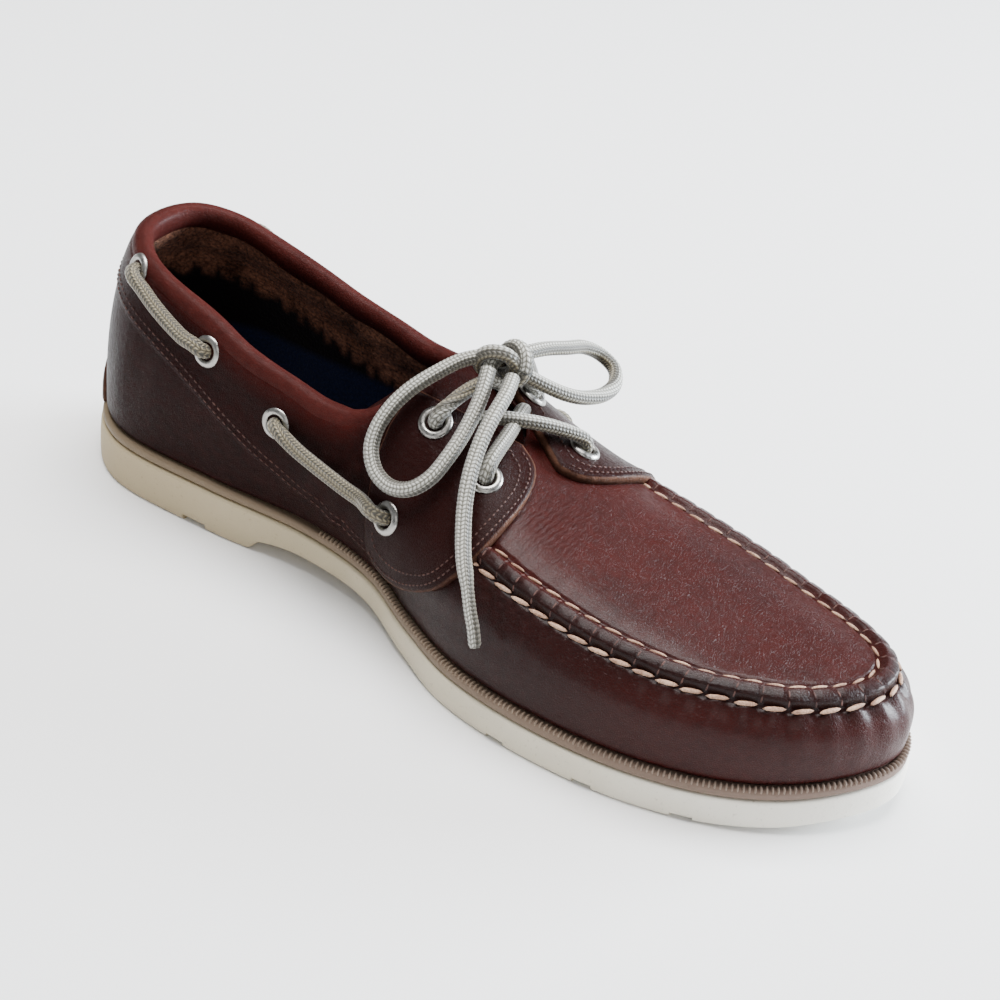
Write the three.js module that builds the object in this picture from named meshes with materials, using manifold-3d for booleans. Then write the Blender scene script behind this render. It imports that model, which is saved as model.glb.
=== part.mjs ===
// A left boat shoe standing empty on its sole.
// Shoe coordinates in millimetres: x from the back of the heel to the toe,
// y towards the outer (left) side of the foot, z up from the floor.
import * as THREE from 'three';
import { mergeVertices } from 'three/addons/utils/BufferGeometryUtils.js';
import Module from 'manifold-3d';

const wasm = await Module();
wasm.setup();

// ---------------------------------------------------------------- sizes
const GAP = 0.3;            // air between pieces that touch
const WALL = 2.2;           // leather and lining of the upper
const COLLAR_PAD = 2.6;     // extra thickness of the padded collar band
const COLLAR_PAD_DEPTH = 20; // how far down the padding reaches
const WELT_THICKNESS = 3.2;
const WELT_STEP = 2.4;      // how far the sole stands out past the upper
const WELT_INSET = 0.5;     // welt edge behind the sole edge
const SOLE_ROUND = 1.2;     // rounding of the sole's lower edge
const INSOLE_THICKNESS = 4.5;
const STAY_THICKNESS = 2.4;
const TONGUE_THICKNESS = 2.4;
const PATCH_THICKNESS = 2.8;
const LACE_DIAMETER = 4.6;
const EYELET = { outer: 5.2, bore: 2.8, height: 0.9 }; // radii and height of the rim
const HEEL_SPINE_X = 30;    // the walls fan round these two points
const TOE_SPINE_X = 238;

// Edge of the sole seen from above, once round: inner side heel to toe, then
// the outer side back to the heel.
const SOLE_OUTLINE = [
  { x: -9, y: 1 },
  { x: -4, y: -18 },
  { x: 14, y: -31 },
  { x: 55, y: -32 },
  { x: 92, y: -28.5 },
  { x: 118, y: -31.5 },
  { x: 140, y: -41.5 },
  { x: 164, y: -51 },
  { x: 196, y: -54 },
  { x: 229, y: -49.5 },
  { x: 259, y: -36 },
  { x: 278, y: -16 },
  { x: 283, y: 0 },
  { x: 276, y: 17 },
  { x: 250, y: 35 },
  { x: 216, y: 46 },
  { x: 180, y: 49.5 },
  { x: 140, y: 44 },
  { x: 100, y: 37.5 },
  { x: 55, y: 35 },
  { x: 14, y: 32.5 },
  { x: -4, y: 19 },
];

// Underside and top of the rubber sole along the shoe.
const SOLE_SECTIONS = [
  { x: -9, base: 0, top: 14.5 },
  { x: 40, base: 0, top: 14.5 },
  { x: 70, base: 0, top: 14.2 },
  { x: 75, base: 3.8, top: 14 },
  { x: 88, base: 5.2, top: 13.6 },
  { x: 106, base: 5, top: 12.8 },
  { x: 126, base: 3.6, top: 11.4 },
  { x: 144, base: 1.4, top: 10 },
  { x: 160, base: 0, top: 9.6 },
  { x: 236, base: 0, top: 9.4 },
  { x: 262, base: 1.6, top: 10.6 },
  { x: 284, base: 4.6, top: 13 },
];

// Cross slots moulded into the tread.
const TREAD_SLOTS = [
  { x: 50, width: 9, depth: 2 },
  { x: 184, width: 6, depth: 1.6 },
  { x: 213, width: 6, depth: 1.6 },
  { x: 241, width: 6, depth: 1.6 },
];

// The last: height of the ridge over the middle line, middle line, squareness
// of the section, and how far the inner and outer walls belly out.
const LAST_SECTIONS = [
  { x: -9, ridge: 100, middle: 0, squareIn: 2.5, squareOut: 2.4, bellyIn: 0.5, bellyOut: 0.5 },
  { x: 30, ridge: 100, middle: 0, squareIn: 2.4, squareOut: 2, bellyIn: 1.5, bellyOut: 0.5 },
  { x: 70, ridge: 94, middle: 0, squareIn: 2.3, squareOut: 2.05, bellyIn: 4, bellyOut: 1 },
  { x: 100, ridge: 83.5, middle: 1, squareIn: 2.1, squareOut: 2, bellyIn: 6, bellyOut: 1.5 },
  { x: 120, ridge: 74.5, middle: 1, squareIn: 2.1, squareOut: 2, bellyIn: 5, bellyOut: 2 },
  { x: 134, ridge: 66.5, middle: 1, squareIn: 2.2, squareOut: 2.1, bellyIn: 3.5, bellyOut: 2 },
  { x: 150, ridge: 58, middle: 0, squareIn: 2.5, squareOut: 2.2, bellyIn: 2, bellyOut: 1.5 },
  { x: 165, ridge: 52, middle: -1, squareIn: 3, squareOut: 2.3, bellyIn: 1, bellyOut: 1 },
  { x: 190, ridge: 48, middle: -2, squareIn: 3.6, squareOut: 2.4, bellyIn: 1, bellyOut: 1 },
  { x: 215, ridge: 44.5, middle: -3, squareIn: 4.2, squareOut: 2.5, bellyIn: 1, bellyOut: 1 },
  { x: 238, ridge: 41.5, middle: -4, squareIn: 4.6, squareOut: 2.7, bellyIn: 1, bellyOut: 1 },
  { x: 284, ridge: 41.5, middle: -2, squareIn: 4.4, squareOut: 3.4, bellyIn: 1, bellyOut: 1 },
];

// Height of the collar's edge along the shoe, and the slope that closes the
// opening in front of it.
const TOPLINE = [
  { x: -30, z: 83.5 },
  { x: 0, z: 83 },
  { x: 16, z: 79.5 },
  { x: 34, z: 75 },
  { x: 50, z: 71 },
  { x: 65, z: 66 },
  { x: 80, z: 62.8 },
  { x: 95, z: 60 },
  { x: 101, z: 60 },
  { x: 106, z: 63 },
  { x: 112, z: 76 },
  { x: 116, z: 130 },
];

// The tongue seen from the side: its rear edge, from the foot of its wings
// to the top; and how far it reaches forward and to each side.
const TONGUE_EDGE = [
  { x: 101, z: 0 },
  { x: 101, z: 57 },
  { x: 112, z: 69 },
  { x: 119, z: 74 },
  { x: 122, z: 90 },
  { x: 122, z: 140 },
];
const TONGUE_REACH = { front: 168, side: 27 };

// Lace stays: an outline on a flat pattern laid against each side of the
// instep. The straight inner edge runs from the first row to the second.
const STAY_OUTLINE = [
  { along: -21, up: 22.5 },
  { along: 13, up: 21.5 },
  { along: 20, up: 17 },
  { along: 24, up: 9 },
  { along: 24.5, up: -4 },
  { along: 22, up: -16 },
  { along: 15.5, up: -26 },
  { along: 4, up: -29.2 },
  { along: -8, up: -27 },
  { along: -14.5, up: -22.5 },
  { along: -17.5, up: -13 },
  { along: -20.5, up: -2 },
  { along: -22, up: 10 },
];
const STAY_CENTRE = { x: 138, y: 27, z: 52 };
const STAY_FACING = { x: 0.22, y: 0.72, z: 0.66 };
const STAY_SHIFT_OUT = { along: 11, up: -3 }; // the outer stay sits further forward

// Eyelets: place along the shoe and angle round its axis. The first three of
// a side are on the quarter, the others on the lace stay.
const EYELETS = [
  { side: -1, x: 17, angle: 62 },
  { side: -1, x: 50.7, angle: 47.6 },
  { side: -1, x: 79.7, angle: 33 },
  { side: -1, x: 128.5, angle: 16.5 },
  { side: -1, x: 149.4, angle: 50.7 },
  { side: -1, x: 128, angle: 64.2 },
  { side: 1, x: 17, angle: 60 },
  { side: 1, x: 50.7, angle: 45.5 },
  { side: 1, x: 79.7, angle: 32 },
  { side: 1, x: 137, angle: 16 },
  { side: 1, x: 157.6, angle: 54.6 },
  { side: 1, x: 136, angle: 62 },
];
const EYELETS_PER_SIDE = 6;
const EYELETS_ON_QUARTER = 3;

// The bow: the knot, and the middle lines of its two loops and two ends.
const KNOT = { x: 135, y: 3.5, z: 80, halfLength: 8, halfWidth: 7, halfHeight: 6 };
const LOOP_MEDIAL = [
  { x: 130.5, y: 1, z: 81.5 },
  { x: 126.5, y: -5, z: 80.5 },
  { x: 123, y: -12.3, z: 77.8 },
  { x: 119.5, y: -19.5, z: 73.7 },
  { x: 117.3, y: -25, z: 69 },
  { x: 116.4, y: -29.8, z: 63.4 },
  { x: 117.6, y: -33.3, z: 58.1 },
  { x: 122, y: -36, z: 53.9 },
  { x: 128.6, y: -37.3, z: 52.4 },
  { x: 135, y: -36.7, z: 54.4 },
  { x: 139, y: -33.3, z: 58.3 },
  { x: 140.3, y: -27, z: 63.5 },
  { x: 139.8, y: -19.3, z: 68.6 },
  { x: 138, y: -10.6, z: 75 },
  { x: 135, y: -3.5, z: 80.5 },
];
const LOOP_LATERAL = [
  { x: 136.3, y: 9, z: 81 },
  { x: 138.2, y: 19.8, z: 79.6 },
  { x: 140, y: 29.6, z: 77 },
  { x: 141.1, y: 37.9, z: 74.5 },
  { x: 143.9, y: 43.5, z: 71 },
  { x: 148.8, y: 44.2, z: 68 },
  { x: 152.6, y: 39.6, z: 66 },
  { x: 153.6, y: 31.8, z: 65.7 },
  { x: 152.2, y: 23.2, z: 67.5 },
  { x: 149.8, y: 16.6, z: 70.3 },
  { x: 146, y: 10.7, z: 74 },
  { x: 140.5, y: 5, z: 78.5 },
];
const END_MEDIAL = [
  { x: 140.5, y: 1, z: 78 },
  { x: 143.4, y: -5.8, z: 76.6 },
  { x: 145.3, y: -13.9, z: 73.6 },
  { x: 146.8, y: -20.6, z: 69.8 },
  { x: 148.4, y: -25.8, z: 65.9 },
  { x: 150.4, y: -30.6, z: 61.9 },
  { x: 152.9, y: -35, z: 57 },
  { x: 156.4, y: -39.6, z: 52 },
  { x: 160.8, y: -44.6, z: 47.5 },
  { x: 166.1, y: -49.4, z: 43.3 },
  { x: 170.7, y: -53.3, z: 38.5 },
  { x: 173.8, y: -55.4, z: 34.9 },
  { x: 176, y: -56.8, z: 30.4 },
];
const END_LATERAL = [
  { x: 131.5, y: 8, z: 79 },
  { x: 128.5, y: 15, z: 77 },
  { x: 126, y: 24, z: 72.5 },
  { x: 123.6, y: 32.4, z: 66.8 },
  { x: 122, y: 39, z: 59.3 },
  { x: 121.5, y: 43.8, z: 51.5 },
  { x: 122, y: 47.7, z: 43.6 },
  { x: 123.5, y: 49.8, z: 35.3 },
  { x: 126, y: 50, z: 27.4 },
];

// ------------------------------------------------------- curve helpers
// Value of one column of a table at x, on a smooth curve through its rows.
function along(table, column, x) {
  const last = table.length - 1;
  if (x <= table[0].x) return table[0][column];
  if (x >= table[last].x) return table[last][column];
  const i = table.findIndex((row, k) => k < last && x < table[k + 1].x);
  const slope = (k) => {
    if (k === 0 || k === last) return 0;
    const before = (table[k][column] - table[k - 1][column]) / (table[k].x - table[k - 1].x);
    const after = (table[k + 1][column] - table[k][column]) / (table[k + 1].x - table[k].x);
    return before * after <= 0 ? 0 : 2 * before * after / (before + after);
  };
  const step = table[i + 1].x - table[i].x;
  const t = (x - table[i].x) / step;
  const rise = t * t * (3 - 2 * t);
  return table[i][column] * (1 - rise) + table[i + 1][column] * rise
    + step * (slope(i) * t * (1 - t) * (1 - t) - slope(i + 1) * t * t * (1 - t));
}

function smoothstep(low, high, value) {
  const t = Math.min(1, Math.max(0, (value - low) / (high - low)));
  return t * t * (3 - 2 * t);
}

// The sole outline pushed outwards by a distance, as a dense closed line.
const OUTLINE_POINTS = 720;
const outlineCurve = new THREE.CatmullRomCurve3(
  SOLE_OUTLINE.map((p) => new THREE.Vector3(p.x, p.y, 0)), true, 'centripetal');

function outlineLine(push) {
  const line = [];
  for (let i = 0; i < OUTLINE_POINTS; i += 1) {
    const t = i / OUTLINE_POINTS;
    const p = outlineCurve.getPoint(t);
    const way = outlineCurve.getTangent(t);
    line.push({ x: p.x + way.y * push, y: p.y - way.x * push });
  }
  return line;
}

// Where the line passes a given x, on the run between two of its indices.
function crossing(line, from, to, x) {
  for (let i = from; i < to; i += 1) {
    const a = line[i % line.length];
    const b = line[(i + 1) % line.length];
    if ((a.x - x) * (b.x - x) <= 0 && a.x !== b.x) {
      const t = (x - a.x) / (b.x - a.x);
      return { index: i + t, y: a.y + (b.y - a.y) * t };
    }
  }
  throw new Error(`the outline has no point at x ${x}`);
}

function lineAt(line, index) {
  const i = Math.floor(index);
  const a = line[((i % line.length) + line.length) % line.length];
  const b = line[(((i + 1) % line.length) + line.length) % line.length];
  const t = index - i;
  return { x: a.x + (b.x - a.x) * t, y: a.y + (b.y - a.y) * t };
}

// Points round the outline, each with the point of the middle line that its
// section leans towards. Both sides use the same stations, so that they meet.
const SIDE_STEPS = 28;
const TOE_STEPS = 16;
const HEEL_STEPS = 12;

function ringOf(push) {
  const line = outlineLine(push);
  const half = Math.floor(line.length * 12 / SOLE_OUTLINE.length);
  const ring = [];
  const stations = [];
  for (let i = 0; i <= SIDE_STEPS; i += 1) {
    stations.push(HEEL_SPINE_X + (TOE_SPINE_X - HEEL_SPINE_X) * i / SIDE_STEPS);
  }
  const middleOf = (x) => ({ x, y: along(LAST_SECTIONS, 'middle', x) });
  const inner = stations.map((x) => crossing(line, 0, half, x));
  const outer = stations.map((x) => crossing(line, half, line.length, x));
  stations.forEach((x, i) => ring.push({ x, y: inner[i].y, spine: middleOf(x), side: -1 }));
  const fan = (from, to, steps, spineX) => {
    for (let i = 1; i < steps; i += 1) {
      const p = lineAt(line, from + (to - from) * i / steps);
      const spine = middleOf(spineX);
      ring.push({ x: p.x, y: p.y, spine, side: p.y < spine.y ? -1 : 1 });
    }
  };
  fan(inner[SIDE_STEPS].index, outer[SIDE_STEPS].index, TOE_STEPS, TOE_SPINE_X);
  for (let i = SIDE_STEPS; i >= 0; i -= 1) {
    ring.push({ x: stations[i], y: outer[i].y, spine: middleOf(stations[i]), side: 1 });
  }
  fan(outer[0].index, inner[0].index + line.length, HEEL_STEPS, HEEL_SPINE_X);
  return ring;
}

// ------------------------------------------------------- solid helpers
// One closed solid from a ring: profile(p) gives the points of one section,
// from the middle line underneath, round the edge, to the middle line on top.
function loftGeometry(ring, profile) {
  const columns = ring.map(profile);
  const rows = columns[0].length;
  const positions = columns.flat().flatMap((p) => [p.x, p.y, p.z]);
  const index = [];
  for (let i = 0; i < ring.length; i += 1) {
    const next = (i + 1) % ring.length;
    for (let j = 0; j < rows - 1; j += 1) {
      const a = i * rows + j;
      const b = next * rows + j;
      index.push(a, b, b + 1, a, b + 1, a + 1);
    }
  }
  const geometry = new THREE.BufferGeometry();
  geometry.setAttribute('position', new THREE.Float32BufferAttribute(positions, 3));
  geometry.setIndex(index);
  return geometry;
}

function solidOf(geometry) {
  const bare = geometry.clone();
  bare.deleteAttribute('normal');
  bare.deleteAttribute('uv');
  const merged = mergeVertices(bare, 1e-3);
  const at = merged.getAttribute('position');
  const kept = [];
  const corners = merged.getIndex().array;
  for (let i = 0; i < corners.length; i += 3) {
    const [a, b, c] = [corners[i], corners[i + 1], corners[i + 2]];
    if (a !== b && b !== c && c !== a) kept.push(a, b, c);
  }
  return new wasm.Manifold(new wasm.Mesh({
    numProp: 3,
    vertProperties: new Float32Array(at.array),
    triVerts: new Uint32Array(kept),
  }));
}

function geometryOf(solid) {
  const mesh = solid.getMesh();
  const geometry = new THREE.BufferGeometry();
  geometry.setAttribute('position', new THREE.Float32BufferAttribute(mesh.vertProperties, 3));
  geometry.setIndex(Array.from(mesh.triVerts));
  return geometry;
}

function boxSolid(low, high) {
  const box = new THREE.BoxGeometry(high.x - low.x, high.y - low.y, high.z - low.z);
  box.translate((low.x + high.x) / 2, (low.y + high.y) / 2, (low.z + high.z) / 2);
  return solidOf(box);
}

// A flat outline pushed through space along a direction, centred on a point.
function prismSolid(shape, centre, right, up, depth, divisions = 6) {
  const geometry = new THREE.ExtrudeGeometry(shape, {
    depth, bevelEnabled: false, curveSegments: divisions });
  geometry.translate(0, 0, -depth / 2);
  const x = right.clone().normalize();
  const z = new THREE.Vector3().crossVectors(x, up).normalize();
  const y = new THREE.Vector3().crossVectors(z, x);
  const place = new THREE.Matrix4().makeBasis(x, y, z).setPosition(centre);
  geometry.applyMatrix4(place);
  return solidOf(geometry);
}

// ------------------------------------------------------------- the sole
const soleTop = (x) => along(SOLE_SECTIONS, 'top', x);
const soleBase = (x) => along(SOLE_SECTIONS, 'base', x);
const weltBase = (x) => soleTop(x) + GAP;
const weltTop = (x) => weltBase(x) + WELT_THICKNESS;
const feather = (x) => weltTop(x) + GAP;

// A plate that follows the sole, between two heights.
function plateSolid(push, low, high, round = 0) {
  const inwards = (p, d) => {
    const reach = Math.hypot(p.spine.x - p.x, p.spine.y - p.y);
    return { x: p.x + (p.spine.x - p.x) * d / reach, y: p.y + (p.spine.y - p.y) * d / reach };
  };
  return solidOf(loftGeometry(ringOf(push), (p) => {
    const tucked = inwards(p, round);
    const section = [
      { ...p.spine, z: low(p.spine.x) },
      { ...tucked, z: low(tucked.x) },
    ];
    if (round > 0) section.push({ x: p.x, y: p.y, z: low(p.x) + round });
    section.push({ x: p.x, y: p.y, z: high(p.x) });
    section.push({ ...p.spine, z: high(p.spine.x) });
    return section;
  }));
}

function outsole() {
  let solid = plateSolid(0, soleBase, soleTop, SOLE_ROUND);
  TREAD_SLOTS.forEach((slot) => {
    solid = solid.subtract(boxSolid(
      new THREE.Vector3(slot.x - slot.width / 2, -70, -5),
      new THREE.Vector3(slot.x + slot.width / 2, 70, slot.depth)));
  });
  return solid;
}

const welt = () => plateSolid(-WELT_INSET, weltBase, weltTop);

const insole = () => plateSolid(
  -(WELT_STEP + WALL + 0.5), feather, (x) => feather(x) + INSOLE_THICKNESS);

// ------------------------------------------------------------- the last
// Outer face of the leather, grown or shrunk all over. pad(x, z) is taken off
// as well where the collar is padded.
const PROFILE_STEPS = 13;

function lastSolid(grow, options = {}) {
  const { drop = 0, pad = () => 0 } = options;
  const ring = ringOf(-WELT_STEP);
  return solidOf(loftGeometry(ring, (p) => {
    const reach = Math.hypot(p.x - p.spine.x, p.y - p.spine.y);
    const out = { x: (p.x - p.spine.x) / reach, y: (p.y - p.spine.y) / reach };
    const floor = feather(p.x) - drop;
    const rise = along(LAST_SECTIONS, 'ridge', p.spine.x) + grow - feather(p.x);
    const outer = smoothstep(-0.9, 0.9, out.y);
    const mixed = (column) => along(LAST_SECTIONS, `${column}In`, p.x) * (1 - outer)
      + along(LAST_SECTIONS, `${column}Out`, p.x) * outer;
    const power = 2 / mixed('square');
    const belly = mixed('belly');
    const section = [{ ...p.spine, z: feather(p.spine.x) - drop }];
    if (drop > 0) section.push({ x: p.x + out.x * grow, y: p.y + out.y * grow, z: floor });
    for (let j = 0; j <= PROFILE_STEPS; j += 1) {
      const turn = j / PROFILE_STEPS * Math.PI / 2;
      const inFull = Math.cos(turn) ** power;
      const up = Math.sin(turn) ** power;
      const z = feather(p.x) + rise * up;
      const swell = belly * Math.sin(Math.PI * Math.min(1, up / 0.85));
      const far = Math.max(0, (reach + grow - pad(p.x, z)) * (j === PROFILE_STEPS ? 0 : inFull)
        + swell);
      section.push({ x: p.spine.x + out.x * far, y: p.spine.y + out.y * far, z });
    }
    return section;
  }));
}

const toplineAt = (x) => along(TOPLINE, 'z', x);

// Padding of the collar: full at the edge, gone further down and in front.
function collarPad(x, z) {
  const below = toplineAt(Math.min(x, 93)) - z;
  return COLLAR_PAD * smoothstep(COLLAR_PAD_DEPTH, 6, below) * smoothstep(100, 88, x);
}

// Everything above the collar line.
function aboveTopline() {
  const shape = new THREE.Shape();
  shape.moveTo(-30, toplineAt(-30));
  for (let x = -4; x <= 116; x += 4) shape.lineTo(x, toplineAt(x));
  shape.lineTo(116, 140);
  shape.lineTo(-30, 140);
  shape.closePath();
  return prismSolid(shape, new THREE.Vector3(0, 0, 0),
    new THREE.Vector3(1, 0, 0), new THREE.Vector3(0, 0, 1), 160);
}

// The throat: a slot with a round front end, seen from above.
const THROAT = { front: 158, rear: 100, halfFront: 8, halfRear: 13, middle: 1.5 };

function throatSlot() {
  const { front, rear, halfFront, halfRear, middle } = THROAT;
  const shape = new THREE.Shape();
  shape.moveTo(rear, middle - halfRear);
  shape.lineTo(front - halfFront, middle - halfFront);
  shape.absarc(front - halfFront, middle, halfFront, -Math.PI / 2, Math.PI / 2, false);
  shape.lineTo(rear, middle + halfRear);
  shape.closePath();
  return prismSolid(shape, new THREE.Vector3(0, 0, 80),
    new THREE.Vector3(1, 0, 0), new THREE.Vector3(0, 1, 0), 100);
}

function upper() {
  const outside = lastSolid(0);
  const inside = lastSolid(-WALL, { drop: 6, pad: collarPad });
  return outside.subtract(inside).subtract(aboveTopline()).subtract(throatSlot());
}

function tongue() {
  const top = -WALL - GAP;
  const { front, side } = TONGUE_REACH;
  const shape = new THREE.Shape();
  shape.moveTo(TONGUE_EDGE[0].x - 40, TONGUE_EDGE[0].z);
  TONGUE_EDGE.forEach((p) => shape.lineTo(p.x, p.z));
  shape.lineTo(TONGUE_EDGE[0].x - 40, 140);
  shape.closePath();
  const behind = prismSolid(shape, new THREE.Vector3(0, 0, 0),
    new THREE.Vector3(1, 0, 0), new THREE.Vector3(0, 0, 1), 160);
  const blank = boxSolid(new THREE.Vector3(80, -side, 30), new THREE.Vector3(front, side, 140));
  return lastSolid(top).subtract(lastSolid(top - TONGUE_THICKNESS))
    .intersect(blank)
    .subtract(behind);
}

// ------------------------------------------------------------- overlays
// Overlays are cut out of a shell that lies on the upper.
function shellSolid(thickness) {
  return lastSolid(GAP + thickness).subtract(lastSolid(GAP));
}

function laceStay(side) {
  const shift = side > 0 ? STAY_SHIFT_OUT : { along: 0, up: 0 };
  const mirror = -side; // the pattern is drawn for the inner side
  const at = STAY_OUTLINE.map((p) => new THREE.Vector2(
    mirror * (p.along + shift.along), p.up + shift.up));
  const shape = new THREE.Shape();
  shape.moveTo(at[0].x, at[0].y);
  shape.lineTo(at[1].x, at[1].y);
  shape.splineThru([...at.slice(2), at[0]]);
  const facing = new THREE.Vector3(STAY_FACING.x, side * STAY_FACING.y, STAY_FACING.z).normalize();
  const right = new THREE.Vector3(mirror, 0, 0).addScaledVector(facing, -mirror * facing.x);
  const up = new THREE.Vector3().crossVectors(facing, right);
  const centre = new THREE.Vector3(STAY_CENTRE.x, side * STAY_CENTRE.y, STAY_CENTRE.z);
  return shellSolid(STAY_THICKNESS).intersect(prismSolid(shape, centre, right, up, 50, 2));
}

// Half-moon patch at the back of the heel, flat edge down on the welt.
function heelPatch() {
  const halfWidth = 19;
  const height = 17.5;
  const bottom = feather(SOLE_OUTLINE[0].x);
  const shape = new THREE.Shape();
  shape.absellipse(0, bottom - 0.5, halfWidth, height, 0, Math.PI, false, 0);
  shape.closePath();
  return shellSolid(PATCH_THICKNESS).intersect(prismSolid(shape, new THREE.Vector3(0, 0, 0),
    new THREE.Vector3(0, 1, 0), new THREE.Vector3(0, 0, 1), 50, 8));
}

// --------------------------------------------------- places on the leather
// Points on a form by place along the shoe and angle round its axis, with
// the way that the surface faces there.
const AXIS_HEIGHT = 30;
const caster = new THREE.Raycaster();

function surfaceOf(solid) {
  const mesh = new THREE.Mesh(geometryOf(solid));
  const touch = (x, side, angle) => {
    const turn = THREE.MathUtils.degToRad(angle);
    const way = new THREE.Vector3(0, side * Math.cos(turn), Math.sin(turn));
    const start = new THREE.Vector3(x, 0, AXIS_HEIGHT).addScaledVector(way, 150);
    caster.set(start, way.negate());
    return caster.intersectObject(mesh)[0].point;
  };
  return ({ x, side, angle }) => {
    const forward = touch(x + 3, side, angle).sub(touch(x - 3, side, angle));
    const round = touch(x, side, angle + 5).sub(touch(x, side, angle - 5));
    const facing = forward.cross(round).multiplyScalar(-side).normalize();
    return { point: touch(x, side, angle), facing };
  };
}

const onQuarter = surfaceOf(lastSolid(0));
const onStay = surfaceOf(lastSolid(GAP + STAY_THICKNESS));
const placeOfEyelet = (row) => (row % EYELETS_PER_SIDE < EYELETS_ON_QUARTER
  ? onQuarter(EYELETS[row]) : onStay(EYELETS[row]));

function aboveEyelet(row, height) {
  const { point, facing } = placeOfEyelet(row);
  return point.clone().addScaledVector(facing, height);
}

// --------------------------------------------------------------- the lace
function tubeSolid(points, diameter, steps, sides = 8) {
  const section = new THREE.Shape();
  for (let i = 0; i < sides; i += 1) {
    const turn = 2 * Math.PI * i / sides;
    const x = diameter / 2 * Math.cos(turn);
    const y = diameter / 2 * Math.sin(turn);
    if (i === 0) section.moveTo(x, y);
    else section.lineTo(x, y);
  }
  section.closePath();
  const path = new THREE.CatmullRomCurve3(points, false, 'centripetal');
  return solidOf(new THREE.ExtrudeGeometry(section, { steps, extrudePath: path }));
}

const vectorsOf = (table) => table.map((p) => new THREE.Vector3(p.x, p.y, p.z));
const OVER_EYELET = GAP + EYELET.height + GAP + LACE_DIAMETER / 2;

// A stretch of lace that lies along the quarter between two eyelets.
function laceBar(first, second) {
  const from = EYELETS[first];
  const to = EYELETS[second];
  const middle = [0.33, 0.67].map((t) => {
    const { point, facing } = onQuarter({
      x: from.x + (to.x - from.x) * t,
      side: from.side,
      angle: from.angle + (to.angle - from.angle) * t,
    });
    const climb = second % EYELETS_PER_SIDE < EYELETS_ON_QUARTER ? 0 : STAY_THICKNESS * t;
    return point.addScaledVector(facing, OVER_EYELET + climb);
  });
  const ends = [first, second].map((row) => aboveEyelet(row, OVER_EYELET + 1));
  return tubeSolid([ends[0], ...middle, ends[1]], LACE_DIAMETER, 6)
    .subtract(lastSolid(2 * GAP + EYELET.height));
}

function knotSolid(room = 0) {
  const ball = new THREE.SphereGeometry(1, 12, 8);
  ball.scale(KNOT.halfLength + room, KNOT.halfWidth + room, KNOT.halfHeight + room);
  ball.translate(KNOT.x, KNOT.y, KNOT.z);
  return solidOf(ball);
}

// Both strands cross over the tongue, each from a front eyelet to the rear
// eyelet opposite, and come up from there to the knot.
function laceCrossing() {
  const knot = new THREE.Vector3(KNOT.x, KNOT.y, KNOT.z - KNOT.halfHeight / 2);
  const lift = new THREE.Vector3(0, 0, 3);
  const strand = (front, rear) => {
    const start = aboveEyelet(front, OVER_EYELET);
    const end = aboveEyelet(rear, OVER_EYELET + 1);
    return tubeSolid([start, start.clone().lerp(end, 0.5).add(lift), end], LACE_DIAMETER, 6)
      .add(tubeSolid([end, end.clone().lerp(knot, 0.5), knot], LACE_DIAMETER, 3));
  };
  return strand(4, 11).add(strand(10, 5))
    .subtract(lastSolid(4 * GAP + STAY_THICKNESS + 2 * EYELET.height))
    .subtract(knotSolid(GAP));
}

const cordSolid = (table, steps) => tubeSolid(vectorsOf(table), LACE_DIAMETER, steps)
  .subtract(knotSolid(GAP));

function eyeletGeometry() {
  const { outer, bore, height } = EYELET;
  const rim = [
    [bore, 0],
    [outer, 0],
    [outer - 0.5, height],
    [bore, height],
    [bore, 0],
  ].map(([radius, y]) => new THREE.Vector2(radius, y));
  return geometryOf(solidOf(new THREE.LatheGeometry(rim, 14)));
}

// -------------------------------------------------------------- assembly
const COLORS = {
  rubber: 0xe9e4d2, rand: 0x75665a, lining: 0x23293a, leather: 0x6a2c26, dark: 0x4a211e,
  lace: 0xd8d2c4, metal: 0xb8b9bb };
const parts = [];

function addMesh(name, geometry, color, roughness, metalness = 0) {
  const mesh = new THREE.Mesh(geometry, new THREE.MeshStandardMaterial({
    color, roughness, metalness }));
  mesh.name = name;
  parts.push(mesh);
  return mesh;
}

const addPart = (name, solid, color, roughness) => addMesh(
  name, geometryOf(solid), color, roughness);

addPart('outsole', outsole(), COLORS.rubber, 0.7);
addPart('welt', welt(), COLORS.rand, 0.7);
addPart('insole', insole(), COLORS.lining, 0.8);
addPart('upper', upper(), COLORS.leather, 0.45);
addPart('tongue', tongue(), COLORS.dark, 0.5);
addPart('lace_stay_medial', laceStay(-1), COLORS.leather, 0.45);
addPart('lace_stay_lateral', laceStay(1), COLORS.leather, 0.45);
addPart('heel_patch', heelPatch(), COLORS.dark, 0.45);

const rimGeometry = eyeletGeometry();
EYELETS.forEach((row, i) => {
  const side = row.side < 0 ? 'medial' : 'lateral';
  const name = `eyelet_${side}_${i % EYELETS_PER_SIDE + 1}`;
  const rim = addMesh(name, rimGeometry, COLORS.metal, 0.3, 1);
  rim.position.copy(aboveEyelet(i, GAP));
  rim.quaternion.setFromUnitVectors(new THREE.Vector3(0, 1, 0), placeOfEyelet(i).facing);
});

addPart('lace_bar_medial_rear', laceBar(0, 1), COLORS.lace, 0.8);
addPart('lace_bar_medial_front', laceBar(2, 3), COLORS.lace, 0.8);
addPart('lace_bar_lateral_rear', laceBar(6, 7), COLORS.lace, 0.8);
addPart('lace_bar_lateral_front', laceBar(8, 9), COLORS.lace, 0.8);
addPart('lace_crossing', laceCrossing(), COLORS.lace, 0.8);

const held = new THREE.Box3();
parts.forEach((mesh) => held.expandByObject(mesh));

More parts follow.
